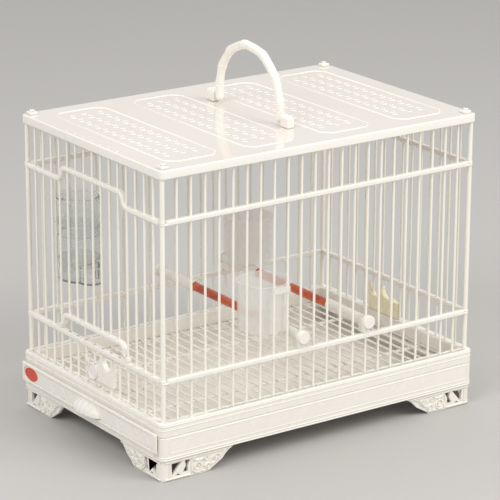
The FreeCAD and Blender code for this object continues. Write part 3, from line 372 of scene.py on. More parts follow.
def soften(node, width):
    """Stand-in for a CAD node with its outer edges rounded; small holes keep their edges."""
    shape = bmesh.new()
    shape.from_mesh(frame["nodes"][node].data)
    if node in DRAWN_IN:
        draw_in(shape, node)
    bmesh.ops.remove_doubles(shape, verts=shape.verts, dist=SOFT_WELD * MM)
    bmesh.ops.dissolve_limit(shape, angle_limit=SOFT_FLAT_ANGLE, verts=shape.verts, edges=shape.edges)
    weight = shape.edges.layers.float.new("bevel_weight_edge")
    for group in sharp_groups(shape):
        if reach_of(group) > HOLE_REACH * MM:
            for edge in group:
                if edge.is_convex or node not in INNER_CORNERS_KEPT:
                    edge[weight] = 1
    mesh = smooth_mesh(f"soft_{node}", shape)
    piece = add_piece(f"soft_{node}", mesh, BODY_OF_NODE[node], SLOT_OF_NODE[node])
    # Painted light: the grate and tray take the paler material to lift their shade.
    if node in PAINTED_LIGHT_NODES:
        mesh.materials[0] = MATERIALS["grate_plastic_painted_light"]
    rounding = round_edges(piece, width)
    rounding.limit_method = "WEIGHT"
    rounding.use_clamp_overlap = False
    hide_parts(node)


for soft_node, soft_width in SOFTENED.items():
    soften(soft_node, soft_width)


# Rails: straight mouldings whose half-height ends share each corner post
RAIL_ROUNDING = 1.2
RAIL_END_GAP = 0.3
RAIL_END_STEPS = 10


def lap_rail(node, axis, tongue_at_top):
    """Straight rail along X (axis 0) or Y (axis 1) with round half-height ends."""
    low, high = mm_box(node)
    across = 1 - axis
    half = (high[across] - low[across]) / 2
    middle = (high[across] + low[across]) / 2
    post_low = low[axis] + half
    post_high = high[axis] - half
    beam_low = post_low + half + RAIL_END_GAP
    beam_high = post_high - half - RAIL_END_GAP
    levels = (low.z, (low.z + high.z) / 2, high.z)
    if tongue_at_top:
        levels = tuple(reversed(levels))

    def ring(points, z):
        places = []
        for along, side in points:
            place = Vector((0, 0, z))
            place[axis] = along
            place[across] = middle + side
            places.append(place)
        return corners_at(shape, places)

    def round_end(post, sign):
        angles = [math.radians(-90 + 180 * step / RAIL_END_STEPS) for step in range(RAIL_END_STEPS + 1)]
        return [(post + sign * half * math.cos(angle), sign * half * math.sin(angle)) for angle in angles]

    outline = [(beam_low, -half), (beam_high, -half)]
    outline += round_end(post_high, 1)
    outline += [(beam_high, half), (beam_low, half)]
    outline += round_end(post_low, -1)
    shape = bmesh.new()
    outer = ring(outline, levels[0])
    lap = ring(outline, levels[1])
    top = ring([(beam_low, -half), (beam_high, -half), (beam_high, half), (beam_low, half)], levels[2])
    bridge(shape, outer, lap)
    shape.faces.new(outer)
    near_low, near_high = lap[0], lap[1]
    far_high, far_low = lap[3 + RAIL_END_STEPS], lap[4 + RAIL_END_STEPS]
    shape.faces.new(lap[1:4 + RAIL_END_STEPS])
    shape.faces.new(lap[4 + RAIL_END_STEPS:] + [near_low])
    bridge(shape, [near_low, near_high, far_high, far_low], top)
    shape.faces.new(top)
    rounding = round_edges(stand_in(f"moulded_{node}", shape, node), RAIL_ROUNDING)
    rounding.limit_method = "ANGLE"
    rounding.angle_limit = math.radians(SHARP_DEGREES)


for level in ("lower", "upper"):
    lap_rail(f"{level}_rail_front", 0, False)
    lap_rail(f"{level}_rail_rear", 0, False)
    lap_rail(f"{level}_rail_right", 1, True)
lap_rail("lower_rail_left", 1, True)


# Arched strips: the rail over the door and the foot strip of the door
ARCH_RISE = 14
ARCH_BEND = 8.5
ARCH_CROWN = 51.25
ARCH_STEPS = 8
ARCH_ROUNDING = 1.5
ARCH_ROUNDING_STEPS = 4
RING_ROUNDING = 0.8
RING_ROUNDING_STEPS = 3
RING_SIDES = 32
arch_turn = math.acos(1 - ARCH_RISE / (2 * ARCH_BEND))
arch_foot = ARCH_CROWN + 2 * ARCH_BEND * math.sin(arch_turn)


def arch_line(half_end):
    """Points (y, z, slope) of an arched strip from -Y to the middle."""
    points = []
    start_turn = 0
    if half_end > arch_foot:
        points.append((-half_end, 0, 0))
    else:
        start_turn = math.asin((arch_foot - half_end) / ARCH_BEND)
    for step in range(ARCH_STEPS + 1):
        turn = start_turn + (arch_turn - start_turn) * step / ARCH_STEPS
        points.append((-arch_foot + ARCH_BEND * math.sin(turn), ARCH_BEND * (1 - math.cos(turn)), turn))
    for step in range(1, ARCH_STEPS + 1):
        turn = arch_turn * (1 - step / ARCH_STEPS)
        drop = ARCH_BEND * (1 - math.cos(turn))
        points.append((-ARCH_CROWN - ARCH_BEND * math.sin(turn), ARCH_RISE - drop, turn))
    return points


def rounded_section(half_width, half_height, rounding, steps):
    """Points of a rounded oblong round zero."""
    return oblong(-half_width, half_width, -half_height, half_height, rounding, steps)


def add_arched_strip(shape, x, base_z, half_end, half_width, half_height):
    """Arched strip with upright ends, which stay clear of what passes through the end rings."""
    def held(y):
        return min(max(y, -half_end), half_end)

    left_half = arch_line(half_end)
    line = left_half + [(-y, z, -slope) for y, z, slope in reversed(left_half)]
    section = rounded_section(half_width, half_height, ARCH_ROUNDING, ARCH_ROUNDING_STEPS)
    rows = []
    for y, z, slope in line:
        rows.append(corners_at(shape, [
            (x + u, held(y - v * math.sin(slope)), base_z + z + v * math.cos(slope)) for u, v in section
        ]))
    bridge_all(shape, rows)
    shape.faces.new(rows[0])
    shape.faces.new(rows[-1])


def add_ring(shape, x, y, low_z, high_z, radius, hole):
    """Ring round a bar or post, turned from a rounded oblong."""
    profile = rounded_section((radius - hole) / 2, (high_z - low_z) / 2, RING_ROUNDING, RING_ROUNDING_STEPS)
    rows = []
    for side in range(RING_SIDES):
        angle = 2 * math.pi * side / RING_SIDES
        rows.append(corners_at(shape, [
            (x + ((radius + hole) / 2 + u) * math.cos(angle), y + ((radius + hole) / 2 + u) * math.sin(angle),
             (low_z + high_z) / 2 + v)
            for u, v in profile
        ]))
    bridge_all(shape, rows + rows[:1])


def arched_piece(node, end_room, post_hole, ring_share):
    """Arched strip with a ring at each end; the strip stops short of the ring's hole."""
    low, high = mm_box(node)
    x = (low.x + high.x) / 2
    half_width = (high.x - low.x) / 2
    height = high.z - low.z - ARCH_RISE
    ring_y = high.y - half_width
    shape = bmesh.new()
    add_arched_strip(shape, x, low.z + height / 2, ring_y - end_room, half_width, height / 2)
    ring_low = high.z - ARCH_RISE - height * ring_share
    for sign in (-1, 1):
        add_ring(shape, x, sign * ring_y, ring_low, high.z - ARCH_RISE, half_width, post_hole)
    stand_in(f"moulded_{node}", shape, node, sharp_degrees=50)


arched_piece("upper_rail_left", end_room=2.7, post_hole=2.5, ring_share=0.5)
arched_piece("lift_door_strip", end_room=1.9, post_hole=1.42, ring_share=1)


# Relief: half-round ridges and leaves laid on a surface
RELIEF_WELD = 0.001
RIDGE_PROFILE_SHARES = ((-0.5, -0.2), (-0.42, 0.45), (-0.2, 0.9), (0.2, 0.9), (0.42, 0.45), (0.5, -0.2))
LEAF_SPREAD_SHARES = (0.0, 0.7, 1.0, 0.75, 0.0)
LEAF_LEAST_SHARE = 0.25
LEAF_EDGE_SINK = 0.1


def join_ridge(shape, rows, closed):
    """Faces along the rows of a ridge, with end faces if it isn't closed."""
    pairs = list(zip(rows, rows[1:]))
    if closed:
        pairs.append((rows[-1], rows[0]))
    else:
        shape.faces.new(rows[0])
        shape.faces.new(list(reversed(rows[-1])))
    for first, second in pairs:
        for index in range(len(first) - 1):
            shape.faces.new((first[index], first[index + 1], second[index + 1], second[index]))


def add_ridge(shape, points, surface, width, height, closed=False):
    """Half-round ridge along points of a surface, which maps (along, up, out) to a place in metres."""
    count = len(points)
    rows = []
    for index in range(count):
        before = points[index - 1] if closed or index > 0 else points[index]
        after = points[(index + 1) % count] if closed or index < count - 1 else points[index]
        run = Vector((after[0] - before[0], after[1] - before[1]))
        run.normalize()
        side = Vector((-run.y, run.x))
        middle = Vector(points[index])
        row = []
        for across_share, out_share in RIDGE_PROFILE_SHARES:
            spot = middle + side * (across_share * width)
            row.append(shape.verts.new(surface(spot.x, spot.y, out_share * height)))
        rows.append(row)
    join_ridge(shape, rows, closed)


def add_leaf(shape, root, angle, length, width, surface, height):
    """Low pointed leaf on a surface, with a raised middle line."""
    run = Vector((math.cos(angle), math.sin(angle)))
    side = Vector((-run.y, run.x))
    count = len(LEAF_SPREAD_SHARES)
    ridge = []
    left = []
    right = []
    for index, spread_share in enumerate(LEAF_SPREAD_SHARES):
        spot = Vector(root) + run * (length * index / (count - 1))
        swell = math.sin(math.pi * (index + 0.5) / count)
        rise = height * (LEAF_LEAST_SHARE + (1 - LEAF_LEAST_SHARE) * swell)
        ridge.append(shape.verts.new(surface(spot.x, spot.y, rise)))
        reach = side * (spread_share * width / 2)
        left.append(shape.verts.new(surface(spot.x + reach.x, spot.y + reach.y, -LEAF_EDGE_SINK)))
        right.append(shape.verts.new(surface(spot.x - reach.x, spot.y - reach.y, -LEAF_EDGE_SINK)))
    for index in range(count - 1):
        shape.faces.new((ridge[index], ridge[index + 1], left[index + 1], left[index]))
        shape.faces.new((right[index], right[index + 1], ridge[index + 1], ridge[index]))


def relief_piece(name, shape, body):
    """Show relief in ivory plastic on a body."""
    bmesh.ops.remove_doubles(shape, verts=shape.verts, dist=RELIEF_WELD * MM)
    bmesh.ops.recalc_face_normals(shape, faces=shape.faces)
    add_piece(name, smooth_mesh(name, shape, sharp_degrees=60), body, "ivory_plastic")


# Lid: a shallow tray turned upside down, with raised panel lines and plain leaf sprigs
lid_low, lid_high = mm_box("roof_panel")
LID_RIB_HEIGHT = 0.6
LID_RIB_WIDTH = 1.6
LID_BAND = 8
LID_SKIN = 3
LID_CORNER = 5
LID_CORNER_STEPS = 8
LID_FOOT_CHAMFER = 0.6
LID_DOOR_HOLE = 1.6
LID_HOLE_SIDES = 16
DOOR_BARS = 7
# Faces whose normal leans further than this from upright count as the lid's sides.
LID_SIDE_SLOPE = 0.9
# Inset from the lid's outline and drop from its top, from the flat top out to the upright side.
LID_EDGE = ((2.4, 0), (1.5, 0), (0.9, 0.13), (0.43, 0.43), (0.13, 0.9), (0, 1.5))
lid_top = lid_high.z - LID_RIB_HEIGHT
lid_middle_x = (lid_low.x + lid_high.x) / 2


def lid_ring(shape, inset, z):
    """Closed row round the lid, inside its outline by the inset."""
    points = oblong(lid_low.x, lid_high.x, lid_low.y, lid_high.y, LID_CORNER, LID_CORNER_STEPS,
                    LID_CORNER - inset)
    return corners_at(shape, [(x, y, z) for x, y in points])


def loop_edges(shape, row):
    """Edges round a closed row of corners, made where there are none."""
    edges = []
    for index, corner in enumerate(row):
        ends = (corner, row[(index + 1) % len(row)])
        edges.append(shape.edges.get(ends) or shape.edges.new(ends))
    return edges


def fill_flat(shape, rows):
    """Flat face with holes between closed rows of corners."""
    edges = [edge for row in rows for edge in loop_edges(shape, row)]
    bmesh.ops.triangle_fill(shape, use_beauty=True, use_dissolve=False, edges=edges)


lid = bmesh.new()
lid_rows = [lid_ring(lid, inset, lid_top - drop) for inset, drop in LID_EDGE]
lid_rows.append(lid_ring(lid, 0, lid_low.z + LID_FOOT_CHAMFER))
lid_rows.append(lid_ring(lid, LID_FOOT_CHAMFER, lid_low.z))
bridge_all(lid, lid_rows)
door_low, door_high = mm_box("lift_door_bars")
door_bar_x = (door_low.x + door_high.x) / 2
door_bar_radius = (door_high.x - door_low.x) / 2
first_bar_y = door_low.y + door_bar_radius
last_bar_y = door_high.y - door_bar_radius
hole_turns = [2 * math.pi * side / LID_HOLE_SIDES for side in range(LID_HOLE_SIDES)]
hole_tops = []
hole_ends = []
for bar in range(DOOR_BARS):
    bar_y = first_bar_y + (last_bar_y - first_bar_y) * bar / (DOOR_BARS - 1)
    circle = [
        (door_bar_x + LID_DOOR_HOLE * math.cos(turn), bar_y + LID_DOOR_HOLE * math.sin(turn))
        for turn in hole_turns
    ]
    hole_tops.append(corners_at(lid, [(x, y, lid_top) for x, y in circle]))
    hole_ends.append(corners_at(lid, [(x, y, lid_low.z) for x, y in circle]))
    bridge(lid, hole_tops[-1], hole_ends[-1])
inner_corners = [
    (lid_low.x + LID_BAND, lid_low.y + LID_BAND), (lid_high.x - LID_BAND, lid_low.y + LID_BAND),
    (lid_high.x - LID_BAND, lid_high.y - LID_BAND), (lid_low.x + LID_BAND, lid_high.y - LID_BAND),
]
inner_low = corners_at(lid, [(x, y, lid_low.z) for x, y in inner_corners])
inner_high = corners_at(lid, [(x, y, lid_top - LID_SKIN) for x, y in inner_corners])
bridge(lid, inner_low, inner_high)
lid.faces.new(inner_high)
fill_flat(lid, [lid_rows[0], *hole_tops])
fill_flat(lid, [lid_rows[-1], inner_low, *hole_ends])
moulded_lid = stand_in("moulded_lid", lid, "roof_panel", sharp_degrees=35)
# The lid's top is darker than the base as painted shade, for the less light that falls on it; its rounded
# edge and its sides keep the base's ivory.
moulded_lid.data.materials.append(MATERIALS["ivory_plastic"])
for polygon in moulded_lid.data.polygons:
    if abs(polygon.normal.z) < LID_SIDE_SLOPE:
        polygon.material_index = 1

PANELS = 4
PANEL_SIDE_MARGIN = 7.4
PANEL_END_MARGIN = 21.4
PANEL_GAP = 32
PANEL_CORNER = 10
panel_pitch = (lid_high.x - lid_low.x - 2 * PANEL_SIDE_MARGIN) / PANELS
panel_middles = [lid_middle_x + (panel - (PANELS - 1) / 2) * panel_pitch for panel in range(PANELS)]
line_half_x = (panel_pitch - PANEL_GAP) / 2 - LID_RIB_WIDTH / 2
line_half_y = lid_high.y - PANEL_END_MARGIN - LID_RIB_WIDTH / 2
line_corner = PANEL_CORNER - LID_RIB_WIDTH / 4


def on_lid(x, y, out):
    return Vector((x, y, lid_top + out)) * MM


panel_lines = bmesh.new()
for panel_x in panel_middles:
    upper_half = [(line_half_x, line_half_y - line_corner), (line_half_x - line_corner, line_half_y)]
    upper_half += [(-x, y) for x, y in reversed(upper_half)]
    octagon = [(panel_x + x, y) for x, y in upper_half + [(-x, -y) for x, y in upper_half]]
    add_ridge(panel_lines, octagon, on_lid, LID_RIB_WIDTH, LID_RIB_HEIGHT, closed=True)
relief_piece("lid_panel_lines", panel_lines, "cage")

SPRIG_REACH = 92
SPRIG_COLUMNS = (-17, 0, 17)
SPRIG_STEP = 8
SPRIG_SWAY = 1.6
SPRIG_LEAN = 38
SPRIG_SPREAD = 58
SPRIG_FORK = 1.4
# Length, width and height of a leaf.
LARGE_LEAF = (6.4, 2.6, 0.45)
SMALL_LEAF = (4.2, 2.0, 0.4)
# No sprig grows under the handle's brackets.
BRACKET_HALF_WIDTH = 12
BRACKET_SPAN = (50, 82)


def add_lid_leaf(shape, root, angle, size):
    length, width, height = size
    add_leaf(shape, root, angle, length, width, on_lid, height)


sprigs = bmesh.new()
for panel_x in panel_middles:
    for column, column_x in enumerate(SPRIG_COLUMNS):
        for step in range(2 * SPRIG_REACH // SPRIG_STEP + 1):
            y = -SPRIG_REACH + step * SPRIG_STEP
            turn = 1 if (step + column) % 2 else -1
            x = panel_x + column_x + SPRIG_SWAY * turn
            if abs(x - lid_middle_x) < BRACKET_HALF_WIDTH and BRACKET_SPAN[0] < abs(y) < BRACKET_SPAN[1]:
                continue
            lean = math.radians(90 - SPRIG_LEAN * turn)
            spread = math.radians(SPRIG_SPREAD * turn)
            add_lid_leaf(sprigs, (x - turn, y), lean, LARGE_LEAF)
            add_lid_leaf(sprigs, (x - turn, y + SPRIG_FORK), lean + spread, SMALL_LEAF)
relief_piece("lid_leaf_sprigs", sprigs, "cage")


# Handle: bamboo-like cane of nearly straight lengths between swollen joints
handle_low, handle_high = mm_box("carry_handle")
HANDLE_HALF_SPAN = 55.2
HANDLE_STRAIGHT = 12
PIVOT_RISE = 7
CANE_RADIUS = 4.85
CANE_SIDES = 28
CANE_ROWS = 420
HEEL_DEGREES = range(8, 90, 9)
JOINT_ANGLES = (176, 148, 116, 82, 52, 26, 2)
JOINT_REACH = 55.8
JOINT_RADIUS = 5.35
JOINT_SWELL_REACH = 2.2
JOINT_GROOVE_DEPTH = 0.9
JOINT_GROOVE_REACH = 0.8
WAIST_DEPTH = 0.26
WAIST_AWAY = 9
WAIST_REACH = 6
CORNER_CUT_SHARES = (0.16, 0.25, 0.25)
pivot_z = lid_top + PIVOT_RISE
handle_x = (handle_low.x + handle_high.x) / 2


def cut_corners(points, share):
    """Polyline whose corners are cut off at a share of each length; the ends stay."""
    result = [points[0]]
    for first, second in zip(points, points[1:]):
        result.append(first.lerp(second, share))
        result.append(first.lerp(second, 1 - share))
    result.append(points[-1])
    return result


def measured(points):
    """Distance from the first point to each point of a polyline."""
    lengths = [0.0]
    for first, second in zip(points, points[1:]):
        lengths.append(lengths[-1] + (second - first).length)
    return lengths


joint_spots = [
    Vector((JOINT_REACH * math.cos(math.radians(angle)),
            pivot_z + HANDLE_STRAIGHT + JOINT_REACH * math.sin(math.radians(angle))))
    for angle in JOINT_ANGLES
]
cane_line = [Vector((-HANDLE_HALF_SPAN, pivot_z)), *joint_spots, Vector((HANDLE_HALF_SPAN, pivot_z))]
for corner_share in CORNER_CUT_SHARES:
    cane_line = cut_corners(cane_line, corner_share)
cane_lengths = measured(cane_line)
joint_lengths = [
    cane_lengths[min(range(len(cane_line)), key=lambda index: (cane_line[index] - spot).length)]
    for spot in joint_spots
]


def cane_place(along):
    """Middle of the cane and its direction in the YZ plane, at a length from the near pivot."""
    index = 0
    while index < len(cane_line) - 2 and cane_lengths[index + 1] < along:
        index += 1
    first = cane_line[index]
    second = cane_line[index + 1]
    share = (along - cane_lengths[index]) / (cane_lengths[index + 1] - cane_lengths[index])
    return first.lerp(second, share), (second - first).normalized()


def cane_radius(along):
    """Radius of the cane: swollen and grooved at each joint, with a waist on both sides of it."""
    radius = CANE_RADIUS
    for joint in joint_lengths:
        away = along - joint
        radius += (JOINT_RADIUS - CANE_RADIUS) * math.exp(-(away / JOINT_SWELL_REACH) ** 2)
        radius -= JOINT_GROOVE_DEPTH * math.exp(-(away / JOINT_GROOVE_REACH) ** 2)
        radius -= WAIST_DEPTH * math.exp(-((abs(away) - WAIST_AWAY) / WAIST_REACH) ** 2)
    return radius


# Length along the cane, and shares of the radius beyond its end and across.
heel_turns = [math.radians(angle) for angle in HEEL_DEGREES]
section_shares = [(0, -math.cos(turn), math.sin(turn)) for turn in heel_turns]
section_shares += [(cane_lengths[-1] * row / CANE_ROWS, 0, 1) for row in range(CANE_ROWS + 1)]
section_shares += [(cane_lengths[-1], math.cos(turn), math.sin(turn)) for turn in reversed(heel_turns)]
cane_turns = [2 * math.pi * side / CANE_SIDES for side in range(CANE_SIDES)]
cane = bmesh.new()
cane_rows = []
for along, beyond_share, size_share in section_shares:
    middle, run = cane_place(along)
    size = cane_radius(along)
    middle = middle + run * (beyond_share * size)
    outward = Vector((run.y, -run.x))
    spots = [(turn, middle + outward * (size * size_share * math.cos(turn))) for turn in cane_turns]
    cane_rows.append(corners_at(cane, [
        (handle_x + size * size_share * math.sin(turn), spot.x, spot.y) for turn, spot in spots
    ]))
bridge_all(cane, cane_rows)
cane.faces.new(list(reversed(cane_rows[0])))
cane.faces.new(cane_rows[-1])
stand_in("bamboo_handle", cane, "carry_handle", sharp_degrees=60)


# Feet: scroll relief on both outer faces of each foot
SPIRAL_STEPS = 26
SPIRAL_SHRINK_SHARE = 0.8
BOW_STEPS = 10
SCROLL_WIDTH = 1.35
SCROLL_HEIGHT = 1.5
LONG_LEG_REACH = 90
SIDE_LEG_REACH = 82


def spiral(centre, radius, start_degrees, turns, hand=1):
    """Line that winds inwards round a centre."""
    points = []
    steps = int(SPIRAL_STEPS * turns)
    for step in range(steps + 1):
        share = step / steps
        angle = math.radians(start_degrees) + hand * 2 * math.pi * turns * share
        reach = radius * (1 - SPIRAL_SHRINK_SHARE * share)
        points.append((centre[0] + reach * math.cos(angle), centre[1] + reach * math.sin(angle)))
    return points


def bow(start, end, bulge_share):
    """Curved line between two points."""
    first = Vector(start)
    chord = Vector(end) - first
    side = Vector((-chord.y, chord.x)) * bulge_share
    shares = [step / BOW_STEPS for step in range(BOW_STEPS + 1)]
    return [tuple(first + chord * share + side * math.sin(math.pi * share)) for share in shares]


# Scroll lines of a long leg, in millimetres outwards from the corner and up.
SCROLL_LINES = [
    spiral((42.5, 8.6), 6.4, 200, 1.7),
    spiral((55.5, 6.8), 4.6, 20, 1.6, -1),
    spiral((53, 15.8), 3.6, 210, 1.5, -1),
    spiral((66, 15.0), 4.2, 160, 1.5),
    bow((36.2, 3.6), (36.6, 18.6), 0.1),
    bow((37, 18.4), (49, 16.4), -0.16),
    bow((60, 8.4), (70, 18.8), -0.18),
    bow((70, 15.4), (82, 20.2), 0.14),
    bow((3.4, 2.2), (34, 2.2), 0),
    bow((3.4, 20.2), (84, 20.6), 0),
    bow((8.6, 4.2), (8.6, 18.6), 0),
]
# Root, direction in degrees, length and width.
SCROLL_LEAVES = [
    ((38.5, 14.8), 20, 7, 3.2),
    ((60.2, 12.0), 70, 6, 2.8),
    ((72.5, 17.0), 30, 8, 2.8),
    ((47.0, 2.6), 5, 7, 2.4),
]


def foot_relief(node, corner_x, corner_y, step_x, step_y):
    """Scrolls on the two outer faces that meet at a foot's corner; the steps point along them."""
    def on_long_face(along, up, out):
        return Vector((corner_x + step_x * along, corner_y - step_y * out, up)) * MM

    def on_side_face(along, up, out):
        scaled = along * SIDE_LEG_REACH / LONG_LEG_REACH
        return Vector((corner_x - step_x * out, corner_y + step_y * scaled, up)) * MM

    shape = bmesh.new()
    for face in (on_long_face, on_side_face):
        for points in SCROLL_LINES:
            add_ridge(shape, points, face, SCROLL_WIDTH, SCROLL_HEIGHT)
        for root, degrees, length, width in SCROLL_LEAVES:
            add_leaf(shape, root, math.radians(degrees), length, width, face, SCROLL_HEIGHT)
    relief_piece(f"scrolls_{node}", shape, "cage")


for foot_end in ("front", "rear"):
    for foot_side in ("left", "right"):
        foot = f"foot_{foot_end}_{foot_side}"
        foot_low, foot_high = mm_box(foot)
        foot_x, foot_step_x = (foot_low.x, 1) if foot_side == "left" else (foot_high.x, -1)
        foot_y, foot_step_y = (foot_low.y, 1) if foot_end == "front" else (foot_high.y, -1)
        foot_relief(foot, foot_x, foot_y, foot_step_x, foot_step_y)


# Base: bead lines round the body and the rim, and plain frames on the long faces and the right face
base_low, base_high = mm_box("base_body")
rim_top = mm_box("rim_frame")[1].z
for base_corner, draw_sign in ((base_low, 1), (base_high, -1)):
    base_corner.x += draw_sign * BASE_DRAW_IN
    base_corner.y += draw_sign * BASE_DRAW_IN
BEAD_CORNER = BASE_CORNER - BASE_DRAW_IN
BEAD_CORNER_STEPS = 8
BEAD_HEIGHT = 0.5
BASE_BEAD_WIDTH = 1.4
LOW_BEAD_RISE = 1.1
OPENING_BEAD_RISE = 3.6
RIM_BEAD_WIDTH = 1.1
RIM_BEAD_DROPS = (3.0, 7.4)
FRAME_END_MARGIN = 9
FRAME_LOW_MARGIN = 8
FRAME_HIGH_MARGIN = 1.6
FRAME_CORNER = 2.5
FRAME_WIDTH = 0.9
FRAME_HEIGHT = 0.4
LINE_CORNER_STEPS = 4


def bead_round_base(shape, z, width, closed=True):
    """Bead round the base; one that isn't closed leaves out the face with the drawer's opening."""
    rings = []
    for across_share, out_share in RIDGE_PROFILE_SHARES:
        points = oblong(base_low.x, base_high.x, base_low.y, base_high.y, BEAD_CORNER, BEAD_CORNER_STEPS,
                        BEAD_CORNER + out_share * BEAD_HEIGHT)
        rings.append(corners_at(shape, [(x, y, z + across_share * width) for x, y in points]))
    rows = [list(row) for row in zip(*rings)]
    # The rows begin past the drawer's face, at the third corner of the oblong.
    begin = 2 * (BEAD_CORNER_STEPS + 1)
    join_ridge(shape, rows[begin:] + rows[:begin], closed)


def on_front(x, z, out):
    return Vector((x, base_low.y - out, z)) * MM


def on_rear(x, z, out):
    return Vector((x, base_high.y + out, z)) * MM


def on_right(y, z, out):
    return Vector((base_high.x + out, y, z)) * MM


beads = bmesh.new()
bead_round_base(beads, base_low.z + LOW_BEAD_RISE, BASE_BEAD_WIDTH)
bead_round_base(beads, base_low.z + OPENING_BEAD_RISE, BASE_BEAD_WIDTH, closed=False)
for bead_drop in RIM_BEAD_DROPS:
    bead_round_base(beads, rim_top - bead_drop, RIM_BEAD_WIDTH)
for surface, low_end, high_end in (
    (on_front, base_low.x, base_high.x),
    (on_rear, base_low.x, base_high.x),
    (on_right, base_low.y, base_high.y),
):
    frame_points = oblong(
        low_end + FRAME_END_MARGIN, high_end - FRAME_END_MARGIN,
        base_low.z + FRAME_LOW_MARGIN, base_high.z - FRAME_HIGH_MARGIN, FRAME_CORNER, LINE_CORNER_STEPS)
    add_ridge(beads, frame_points, surface, FRAME_WIDTH, FRAME_HEIGHT, closed=True)
relief_piece("base_beads", beads, "cage")


# Drawer front: plate with rounded edges and a shallow recess with round ends
front_low, front_high = mm_box("drawer_front")
front_depth = front_high.x - front_low.x
FRONT_BORDER = 3.5
FRONT_RECESS = 1
FRONT_CORNER = 1.6
FRONT_CORNER_STEPS = 5
# The plate's back is cut away along its edges, which shows as a shadow line round the drawer.
FRONT_GAP = 2
FRONT_REBATE = 3
# Inset from the plate's outline and depth behind its face.
FRONT_EDGE = ((1.4, 0), (1.0, 0), (0.5, 0.13), (0.13, 0.5), (0, 1.0))
# Depth behind the plate's face and distance inside its outline.
FRONT_BACK = (
    (front_depth - FRONT_GAP, 0),
    (front_depth - FRONT_GAP, FRONT_REBATE),
    (front_depth, FRONT_REBATE),
)
# Distance inside the recess's outline, less than zero outside it, and depth behind the face; a groove
# runs round the recess's floor.
RECESS_EDGE = ((-0.9, 0), (-0.5, 0), (-0.1, 0.12), (0, 0.4), (0, 1.8), (0.8, 1.8), (0.8, FRONT_RECESS))
RECESS_CORNER_STEPS = 12
# The recess's ends are round but for this straight length on each side of the middle.
RECESS_STRAIGHT = 0.05
FRONT_LINE_INSET = 1.9
FRONT_LINE_CORNER = 1
FRONT_LINE_WIDTH = 0.8
FRONT_LINE_HEIGHT = 0.5


def front_oblong(margin, corner, steps, reach):
    """Points (y, z) of a rounded oblong inside the drawer front's outline."""
    return oblong(front_low.y + margin, front_high.y - margin, front_low.z + margin, front_high.z - margin,
                  corner, steps, reach)


def front_ring(shape, inset, depth, margin, corner, steps):
    """Closed row on the drawer front, at a depth behind its face."""
    points = front_oblong(margin, corner, steps, corner - inset)
    return corners_at(shape, [(front_low.x + depth, y, z) for y, z in points])


drawer_face = bmesh.new()
face_rows = [
    front_ring(drawer_face, inset, depth, 0, FRONT_CORNER, FRONT_CORNER_STEPS)
    for inset, depth in FRONT_EDGE
]
face_rows += [
    front_ring(drawer_face, 0, depth, margin, FRONT_CORNER, FRONT_CORNER_STEPS)
    for depth, margin in FRONT_BACK
]
recess_corner = (front_high.z - front_low.z) / 2 - FRONT_BORDER - RECESS_STRAIGHT
recess_rows = [
    front_ring(drawer_face, inset, depth, FRONT_BORDER, recess_corner, RECESS_CORNER_STEPS)
    for inset, depth in RECESS_EDGE
]
bridge_all(drawer_face, face_rows)
bridge_all(drawer_face, recess_rows)
fill_flat(drawer_face, [face_rows[0], recess_rows[0]])
fill_flat(drawer_face, [face_rows[-1]])
fill_flat(drawer_face, [recess_rows[-1]])
stand_in("moulded_drawer_front", drawer_face, "drawer_front", sharp_degrees=45)


def on_drawer(y, z, out):
    return Vector((front_low.x - out, y, z)) * MM


drawer_line = bmesh.new()
line_points = front_oblong(FRONT_LINE_INSET, FRONT_LINE_CORNER, LINE_CORNER_STEPS, FRONT_LINE_CORNER)
add_ridge(drawer_line, line_points, on_drawer, FRONT_LINE_WIDTH, FRONT_LINE_HEIGHT, closed=True)
relief_piece("drawer_front_line", drawer_line, "drawer")


# Drawer pull: hollow quarter shell with scalloped ribs
pull_low, pull_high = mm_box("drawer_pull")
PULL_WALL = 1.8
PULL_RIBS = 9
PULL_RIB_DEPTH = 0.9
PULL_STEPS = 108
PULL_RISE_STEPS = 12
PULL_END_SHARE = 0.02


def pull_row(shape, rise_share, wall):
    """Row across the pull from end to end, at a share of the way from its lip to its root."""
    rise = math.pi / 2 * rise_share
    depth = pull_high.x - pull_low.x
    height = pull_high.z - pull_low.z
    places = []
    for step in range(PULL_STEPS + 1):
        share = step / PULL_STEPS
        across = math.pi * (PULL_END_SHARE + (1 - 2 * PULL_END_SHARE) * share) - math.pi / 2
        inset = wall
        if wall == 0:
            inset = PULL_RIB_DEPTH * math.cos(math.pi * PULL_RIBS * share) ** 2 * math.cos(across) ** 2
        places.append((
            pull_high.x - (depth - inset) * math.cos(rise) * math.cos(across),
            (pull_high.y - wall) * math.sin(across),
            pull_low.z + (height - inset) * math.sin(rise) * math.cos(across),
        ))
    return corners_at(shape, places)


pull = bmesh.new()
rise_shares = [step / PULL_RISE_STEPS for step in range(PULL_RISE_STEPS + 1)]
pull_rows = [pull_row(pull, share, 0) for share in rise_shares]
pull_rows += [pull_row(pull, share, PULL_WALL) for share in reversed(rise_shares)]
join_ridge(pull, pull_rows, closed=True)
pull.faces.new([row[0] for row in pull_rows])
pull.faces.new([row[-1] for row in pull_rows])
stand_in("scalloped_pull", pull, "drawer_pull", sharp_degrees=50)


# Badge: plain domed oval with a raised border
badge_low, badge_high = mm_box("badge_plate")
badge_middle = (badge_low + badge_high) / 2
badge_half = (badge_high - badge_low) / 2
BADGE_SIDES = 56
